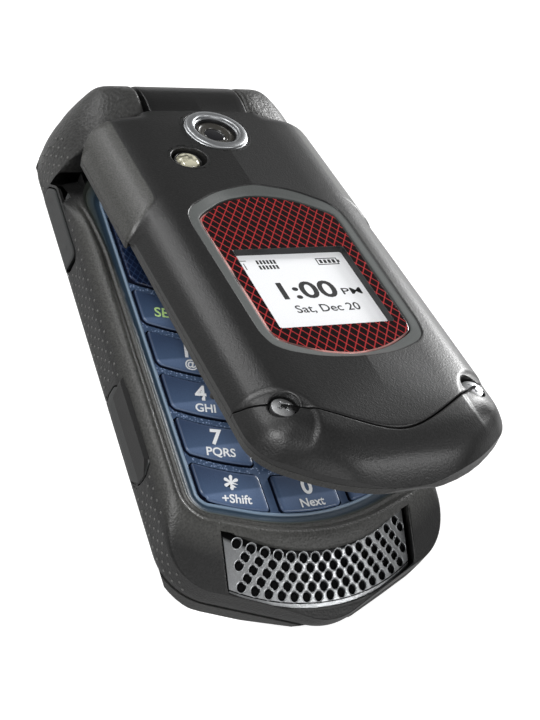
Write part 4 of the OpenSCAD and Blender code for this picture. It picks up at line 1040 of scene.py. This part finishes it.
def grip_dot(place, out, along, up, sunk, side):
    """A small dome: a few rings about its own axis, from the directions out of the wall, along it and up it."""
    r, h = np.array([(.27, -.04), (.2, .07), (.1, .115), (0, .125)]).T[..., None]
    a = np.linspace(0, 2 * math.pi, 9)
    h, c, s = h - sunk, r * np.cos(a), r * np.sin(a)
    p = at(*(place[k] + out[k] * h + along[k] * c + up[k] * s for k in range(3)))
    return sheet(p * [side, 1, 1], toward=np.array(out) * [side, 1, 1])


def grip_dots():
    """Small domes in staggered rows on both side walls, round the chin's corners and up the knuckles' sides."""
    outline = np.concatenate([CHIN_CORNER[4:], spaced([CHIN_CORNER[-1], [HALF_W, 40]], 60)[1:]])
    s = np.r_[0, np.cumsum(np.hypot(*np.diff(outline, axis=0).T))]

    def point(d):
        return np.stack([np.interp(d, s, outline[:, 0]), np.interp(d, s, outline[:, 1])], -1)
    spots = []
    for row, z in enumerate(DOT_ROWS):
        for k in range(int(s[-1] / DOT_PITCH)):
            d = 1.0 + DOT_PITCH * k + (row % 2) * DOT_PITCH / 2
            if d < s[-1] - 1:
                spots.append((*point(d), z, d))
    spots = np.array(spots)
    x, y, z, d = spots.T
    t = point(d + .2) - point(d - .2)
    t /= np.hypot(*t.T)[:, None]
    q = KNUCKLE_LINE[::-1]
    slope = np.gradient(q, axis=0)
    slope /= np.hypot(*slope.T)[:, None]
    for side, name in ((1, "right"), (-1, "left")):
        keep = z < grille_slope_height(x, y) - 1
        for own, line in SIDE_OPENINGS.values():
            if own == side:
                keep &= ~inside(y, z, offset(softened(line, .3, 1), .8))
        sheets = [grip_dot(spot, (ty, -tx, 0), (tx, ty, 0), UP, wall_inset(spot[2]), side)
                  for spot, (tx, ty) in zip(spots[keep], t[keep])]
        for row, height in enumerate((*DOT_ROWS, 10.6, 11.7, 12.8)):
            qx, ux, uz = (np.interp(height, q[:, 1], v) for v in (q[:, 0], slope[:, 1], -slope[:, 0]))
            sheets += [grip_dot((qx, qy + (row % 2) * DOT_PITCH / 2, height), (ux, 0, uz), (0, 1, 0), (-uz, 0, ux), 0, side)
                       for qy in np.arange(37.3, 42.5, DOT_PITCH)]
        piece(f"grip_dots_{name}", sheets, "base", DOT, sharp=80)


def deck_border():
    """A band inside the deck's outline: low at the bank, dipping, then a rounded lip beside the keys."""
    rows, v = [], []
    extra = widening(DENSE_DECK[:, 1])
    for share in (1, .85, .65, .45, .25, .1, 0):
        d = share * (.7 + extra)
        rows.append((offset(DENSE_DECK, d[:, None]), inner_bank(np.maximum(d - extra, 0)) + .02))
        v.append(.4 * (1 - share))
    for d, z in ((.2, 10.58), (.5, 10.46), (.85, 10.4), (1.05, 10.42), (1.2, 10.5), (1.32, 10.58), (1.45, 10.6),
                 (1.56, 10.56), (1.64, 10.46), (1.66, 10.28)):
        rows.append((offset(DENSE_DECK, -d), z))
        v.append(.4 + .6 * d / 1.66)
    grid = ring_rows(rows)
    uv = np.stack(np.broadcast_arrays(np.arange(grid.shape[1])[None] * .1, np.array(v)[:, None]), -1)
    piece("deck_border_band", [sheet(grid, toward=UP, uv=uv)], "base", BORDER)


def dense(outline, n):
    """A closed outline resampled to n points at equal distances."""
    o = np.asarray(outline, float)
    return spaced(np.concatenate([o, o[:1]]), n)[:-1]


DENSE_DECK = dense(DECK_LINE, 420)


# ---- keys ----

LEGEND_Z = 10.9
# name, legend, second line of it; three keys to a row, from the left
KEYS = (("send_key", "SEND", ""), ("clear_key", "CLR", ""), ("end_key", "END", ""),
        ("key_1", "1", "@"), ("key_2", "2", "ABC"), ("key_3", "3", "DEF"),
        ("key_4", "4", "GHI"), ("key_5", "5", "JKL"), ("key_6", "6", "MNO"),
        ("key_7", "7", "PQRS"), ("key_8", "8", "TUV"), ("key_9", "9", "WXYZ"),
        ("key_star", "*", "+Shift"), ("key_0", "0", "Next"), ("key_hash", "#", "Space"))
COLUMNS = ((-18.4, -7.55), (-5.55, 5.55), (7.55, 18.4))


def row_top(row, x):
    """Upper edge of a key row: a parabola that rises to both sides."""
    return 6 - ROW_PITCH * row + x * x / ROW_CURVE


def key_line(x0, x1, row):
    """A key's outline, anticlockwise from its lower left, following the row's curve, with small rounded corners."""
    low = np.linspace(x0, x1, 22)
    top = row_top(row, low)
    p = np.concatenate([np.stack([low, top - KEY_DEEP], -1), np.stack([low, top], -1)[::-1]])
    return dense(softened(p, .01, 1), 160)


def rounded_key(line, corners, r=.75):
    """Pulls an outline's points near each sharp corner onto a curve between the two edges that meet there."""
    p = line.copy()
    for c in corners:
        d = np.hypot(*(p - c).T)
        near = d < r * 1.2
        if near.any():
            inwards = line.mean(0) - c
            inwards /= np.hypot(*inwards)
            p[near] += inwards * ((r * 1.2 - d[near]) ** 2 / (r * 1.2) ** 2 * r * .42)[:, None]
    return p


def key_piece(name, line, finish_top, low=0, high=1):
    """A key: side walls, a rounded edge and a face that rises slightly to its middle."""
    mid, last = line.mean(0), offset(line, -.32)
    side = [(line, 9.45), (line, 10.4), (offset(line, -.03), 10.56)]
    face = [side[-1], (offset(line, -.1), 10.72), (offset(line, -.2), 10.81), (last, 10.85)]
    face += [(mid + (last - mid) * t, 10.85 + (1 - t) * .03) for t in (.9, .75, .5, .25, 0)]
    grid = ring_rows(face)
    uv = np.stack([grid[..., 0], (grid[..., 1] - low) / (high - low)], -1) if finish_top is KEY else None
    piece(name + "_cap", [sheet(grid, toward=UP, uv=uv)], name, finish_top, [name], sharp=60)
    # the side walls carry painted shade
    piece(name + "_side", [sheet(ring_rows(side))], name, KEY_SIDE_SHADE, sharp=60)


def triangle(q):
    """A triangle's points as a grid of one quad, two of whose corners meet."""
    return np.moveaxis(np.array([[q[0], q[0]], [q[1], q[2]]]), -1, 0)


def legend(name, kind, words, size, place, paint, thick, lean):
    """A line of a key's legend."""
    lettering(name + kind, words, size, place, LEGEND_Z, name, paint, thick=thick, lean=lean)


def keypad():
    """All the keys of the grid with their legends, then the two tall keys, the ring and the middle key."""
    for k, (name, big, small) in enumerate(KEYS):
        row, col = divmod(k, 3)
        x0, x1 = COLUMNS[col]
        corners = [np.array([x, row_top(row, x) - dy]) for x in (x0, x1) for dy in (0, KEY_DEEP)]
        line = rounded_key(key_line(x0, x1, row), corners)
        if row == 4 and col != 1:
            line = rounded_key(line, [corners[1 if col == 0 else 3]], 1.5)
        xm = (x0 + x1) / 2
        top = row_top(row, xm)
        key_piece(name, line, KEY, top - KEY_DEEP - .4, top + .4)
        lean = math.atan(xm / 38) * .6
        if small:
            size, drop = (5.6, 2.3) if big == "*" else (3.9, 2.35)
            legend(name, "_number", big, size, (xm + .3, top - drop), WHITE_PRINT, .11, lean)
            legend(name, "_letters", small, 2.15, (xm + .3, top - 5.25), WHITE_PRINT, .045, lean)
        else:
            paint = {"SEND": GREEN_PRINT, "CLR": WHITE_PRINT, "END": RED_PRINT}[big]
            legend(name, "_word", big, 2.7, (xm + .2, top - 3.4), paint, .05, lean)
    x0, x1 = 10.2, 18.4
    low = np.linspace(x0, x1, 20)
    top_y = row_top(0, x1) + 16.1
    shape = np.concatenate([np.stack([low, row_top(0, low) + 1.7], -1), [[x1, top_y], [x0, top_y]]])
    line = rounded_key(dense(shape, 200), [shape[0], shape[19], shape[20], shape[21]], 1.1)
    key_piece("right_soft_key", line, NET_KEY)
    key_piece("left_soft_key", line[::-1] * [-1, 1], NET_KEY)
    centre = np.array([0, 17.5])
    ring = [(3.75, 9.6), (3.75, 10.6), (3.85, 10.78), (4.05, 10.82), (5.2, 10.72), (6.4, 10.68), (7.6, 10.76),
            (8.15, 10.84), (8.4, 10.82), (8.55, 10.7), (8.6, 10.5), (8.6, 9.45)]
    p, uv, _ = turned(ring, centre)
    uv = np.stack([uv[..., 0], .6 + 0 * uv[..., 0]], -1)
    piece("nav_ring_cap", [(p, uv, None)], "nav_ring", KEY, ["nav_ring"])
    ok = [(3.4, 9.45), (3.4, 10.5), (3.3, 10.74), (3.1, 10.84), (2.6, 10.86), (1.3, 10.82), (0, 10.8)]
    piece("ok_key_cap", [turned(ok, centre)], "ok_key", OK_FACE, ["ok_key"])
    lettering("ok_key_word", "OK", 2.1, centre, 10.88, "ok_key", INK, thick=.03)
    arrow = np.array([[0, .55], [-.6, -.4], [.6, -.4]])
    for k, (dx, dy, turn) in enumerate(((0, 6.1, 0), (0, -6.1, math.pi), (6.1, 0, -math.pi / 2), (-6.1, 0, math.pi / 2))):
        c, s = math.cos(turn), math.sin(turn)
        q = arrow @ np.array([[c, s], [-s, c]]) + centre + [dx, dy]
        piece(f"nav_mark_{k + 1}", [sheet(at(*triangle(q), 10.74), toward=UP)], "nav_ring", WHITE_PRINT)


# ---- pieces on the base's sides ----

def side_plate(name, line, side, body, out, instead=()):
    """A plate in a side pocket: its outline drawn in a little, standing on the wall's own curve, with a rounded edge."""
    line = dense(softened(line, .35, 2), 120)
    mid, inner, top = line.mean(0), offset(line, -.45), -out - .08
    rings = [(line, .5), (line, .05 - out), (offset(line, -.1), -out * .98), (offset(line, -.24), -out - .06), (inner, top)]
    rings += [(mid + (inner - mid) * t, top) for t in (.85, .6, .3, 0)]
    piece(name, [wall_fan(rings, side)], body, SIDE_KEYS, instead, sharp=50)


def side_pieces():
    """Volume rocker with two marks, port door, side key: each inside its own pocket's outline."""
    def drawn_in(line, d):
        return offset(dense(softened(line, .3, 1), 160), -d)
    side_plate("rocker_plate", ROCKER_LINE, -1, "volume_rocker", .16, ["volume_rocker"])
    for k, (y, up) in enumerate(((22.6, -1), (33.4, 1))):
        y, z = triangle([[y + .55 * up, 6.0], [y - .45 * up, 6.55], [y - .45 * up, 5.45]])
        mark = sheet(wall_point(y, z, -1, -.27), toward=(-1, 0, 0))
        piece(f"rocker_mark_{k + 1}", [mark], "volume_rocker", BLACK)
    side_plate("port_door_plate", drawn_in(SIDE_OPENINGS["port"][1], .2), -1, "port_door", .0)
    side_plate("side_key_plate", drawn_in(SIDE_OPENINGS["side_key"][1], .2), 1, "side_key", .2, ["side_key"])


def grille_rims():
    """Rounded edges on the grille's holes: a half-round band about each, laid on the cone. Bands that cross the side are
    left out."""
    pitch, a = 2.1, np.linspace(0, 2 * math.pi, 17)
    n = int((17.3 - 1.2) / pitch)
    sheets = []
    for row in range(5):
        r0 = CONE_R + CONE_FALL * (.75 + row * (4.4 - 1.35) / 4) - .5
        for i in range(-n, n + 1):
            x0 = (i + (row % 2) / 2) * pitch
            if abs(x0) < 16.3:
                y0 = CONE_Y - math.sqrt(r0 * r0 - x0 * x0)
                rows = []
                for r, lift in ((.93, -.01), (.87, .05), (.79, .06), (.73, -.02), (.73, -.4)):
                    x, y = x0 + r * np.cos(a), y0 + r * np.sin(a)
                    rows.append(at(x, y, 10.4 - (off((0, CONE_Y), x, y) - CONE_R) / CONE_FALL + lift))
                sheets.append(sheet(np.stack(rows), toward=UP))
    piece("grille_hole_rims", sheets, "base", SILVER, sharp=70)


# ---- floor, light and camera ----

def studio():
    """A pale floor that the camera sees as white but for the object's shadow, soft lamps, and the photograph's camera."""
    p = at(np.array([[-1500., -1500], [1500, 1500]]), np.array([[-1500., 1500], [-1500, 1500]]), -.02) * .001
    mesh = bpy.data.meshes.new("floor")
    mesh.from_pydata(p.reshape(-1, 3).tolist(), [], [(0, 2, 3, 1)])
    n = material("pale_floor", Roughness=.9)
    n.tree.nodes.remove(n.shader)
    plain = n.add("ShaderNodeBsdfDiffuse", Color=(.5, .5, .5, 1)).outputs[0]
    glow = n.add("ShaderNodeEmission", Color=(1, 1, 1, 1), Strength=.86).outputs[0]
    lit = n.add("ShaderNodeAddShader", i0=plain, i1=glow).outputs[0]
    path = n.add("ShaderNodeLightPath").outputs
    seen = n.sum("MAXIMUM", path["Is Camera Ray"], n.sum("MULTIPLY", path["Is Glossy Ray"], .3))
    seen = n.sum("MAXIMUM", seen, path["Is Transmission Ray"])
    above = n.add("ShaderNodeMixShader", i0=seen, i1=plain, i2=lit).outputs[0]
    clear = n.add("ShaderNodeBsdfTransparent").outputs[0]
    behind = n.add("ShaderNodeNewGeometry").outputs["Backfacing"]
    sides = n.add("ShaderNodeMixShader", i0=behind, i1=above, i2=clear).outputs[0]
    n.put(sides, next(k for k in n.tree.nodes if k.type == "OUTPUT_MATERIAL").inputs[0])
    mesh.materials.append(n.made)
    in_scene("floor", mesh)

    world = bpy.data.worlds.new("studio")
    world.use_nodes = True
    world.node_tree.nodes.clear()
    w = Nodes(world.node_tree)
    path = w.add("ShaderNodeLightPath").outputs
    seen = w.sum("MAXIMUM", path["Is Camera Ray"], path["Is Transmission Ray"])
    back = w.add("ShaderNodeBackground", Color=(1, 1, 1, 1), Strength=w.sum("ADD", .14, w.sum("MULTIPLY", seen, .86)))
    w.put(back.outputs[0], w.add("ShaderNodeOutputWorld").inputs[0])
    bpy.context.scene.world = world

    def lamp(name, place, size, power):
        data = bpy.data.lights.new(name, "AREA")
        data.shape, data.size, data.energy = "DISK", size, power
        back = np.array(place) - (0, 0, .01)
        back = back / np.linalg.norm(back)
        side = np.cross([0, 0, 1.], back)
        side /= np.linalg.norm(side)
        up = np.cross(back, side)
        rows = [[side[k], up[k], back[k], place[k]] for k in range(3)] + [[0, 0, 0, 1]]
        in_scene(name, data).matrix_world = Matrix(rows)

    lamp("left_softbox", (-.52, .1, .72), .26, 4.4)
    lamp("right_softbox", (.88, .5, .22), .3, 8.5)
    lamp("front_fill", (-.15, -.8, .5), .5, 1.6)
    lamp("grille_softbox", (.46, -.42, .72), .22, 1.9)
    lamp("slope_softbox", (-.4, .82, .5), .42, 2.8)

    data = bpy.data.cameras.new("camera")
    data.sensor_width, data.lens = 36, 71.079
    data.clip_start, data.clip_end = .01, 20
    cam = in_scene("camera", data)
    m = np.array([[.8754, -.31127, .36985], [.06888, .83762, .5419], [-.47847, -.4489, .75469]])
    t = np.array([-7.709, -1.261, -252.127])
    place = -m.T @ t * .001
    cam.matrix_world = Matrix([[*m.T[k], place[k]] for k in range(3)] + [[0, 0, 0, 1]])
    bpy.context.scene.camera = cam
    bpy.context.scene.view_settings.view_transform = "Standard"


frame_finishes()
lid_cover()
chin_cover()
outer_window()
display_face()
camera_parts()
lid_screw_heads()
body_skin()
grip_dots()
deck_border()
keypad()
side_pieces()
grille_rims()
studio()
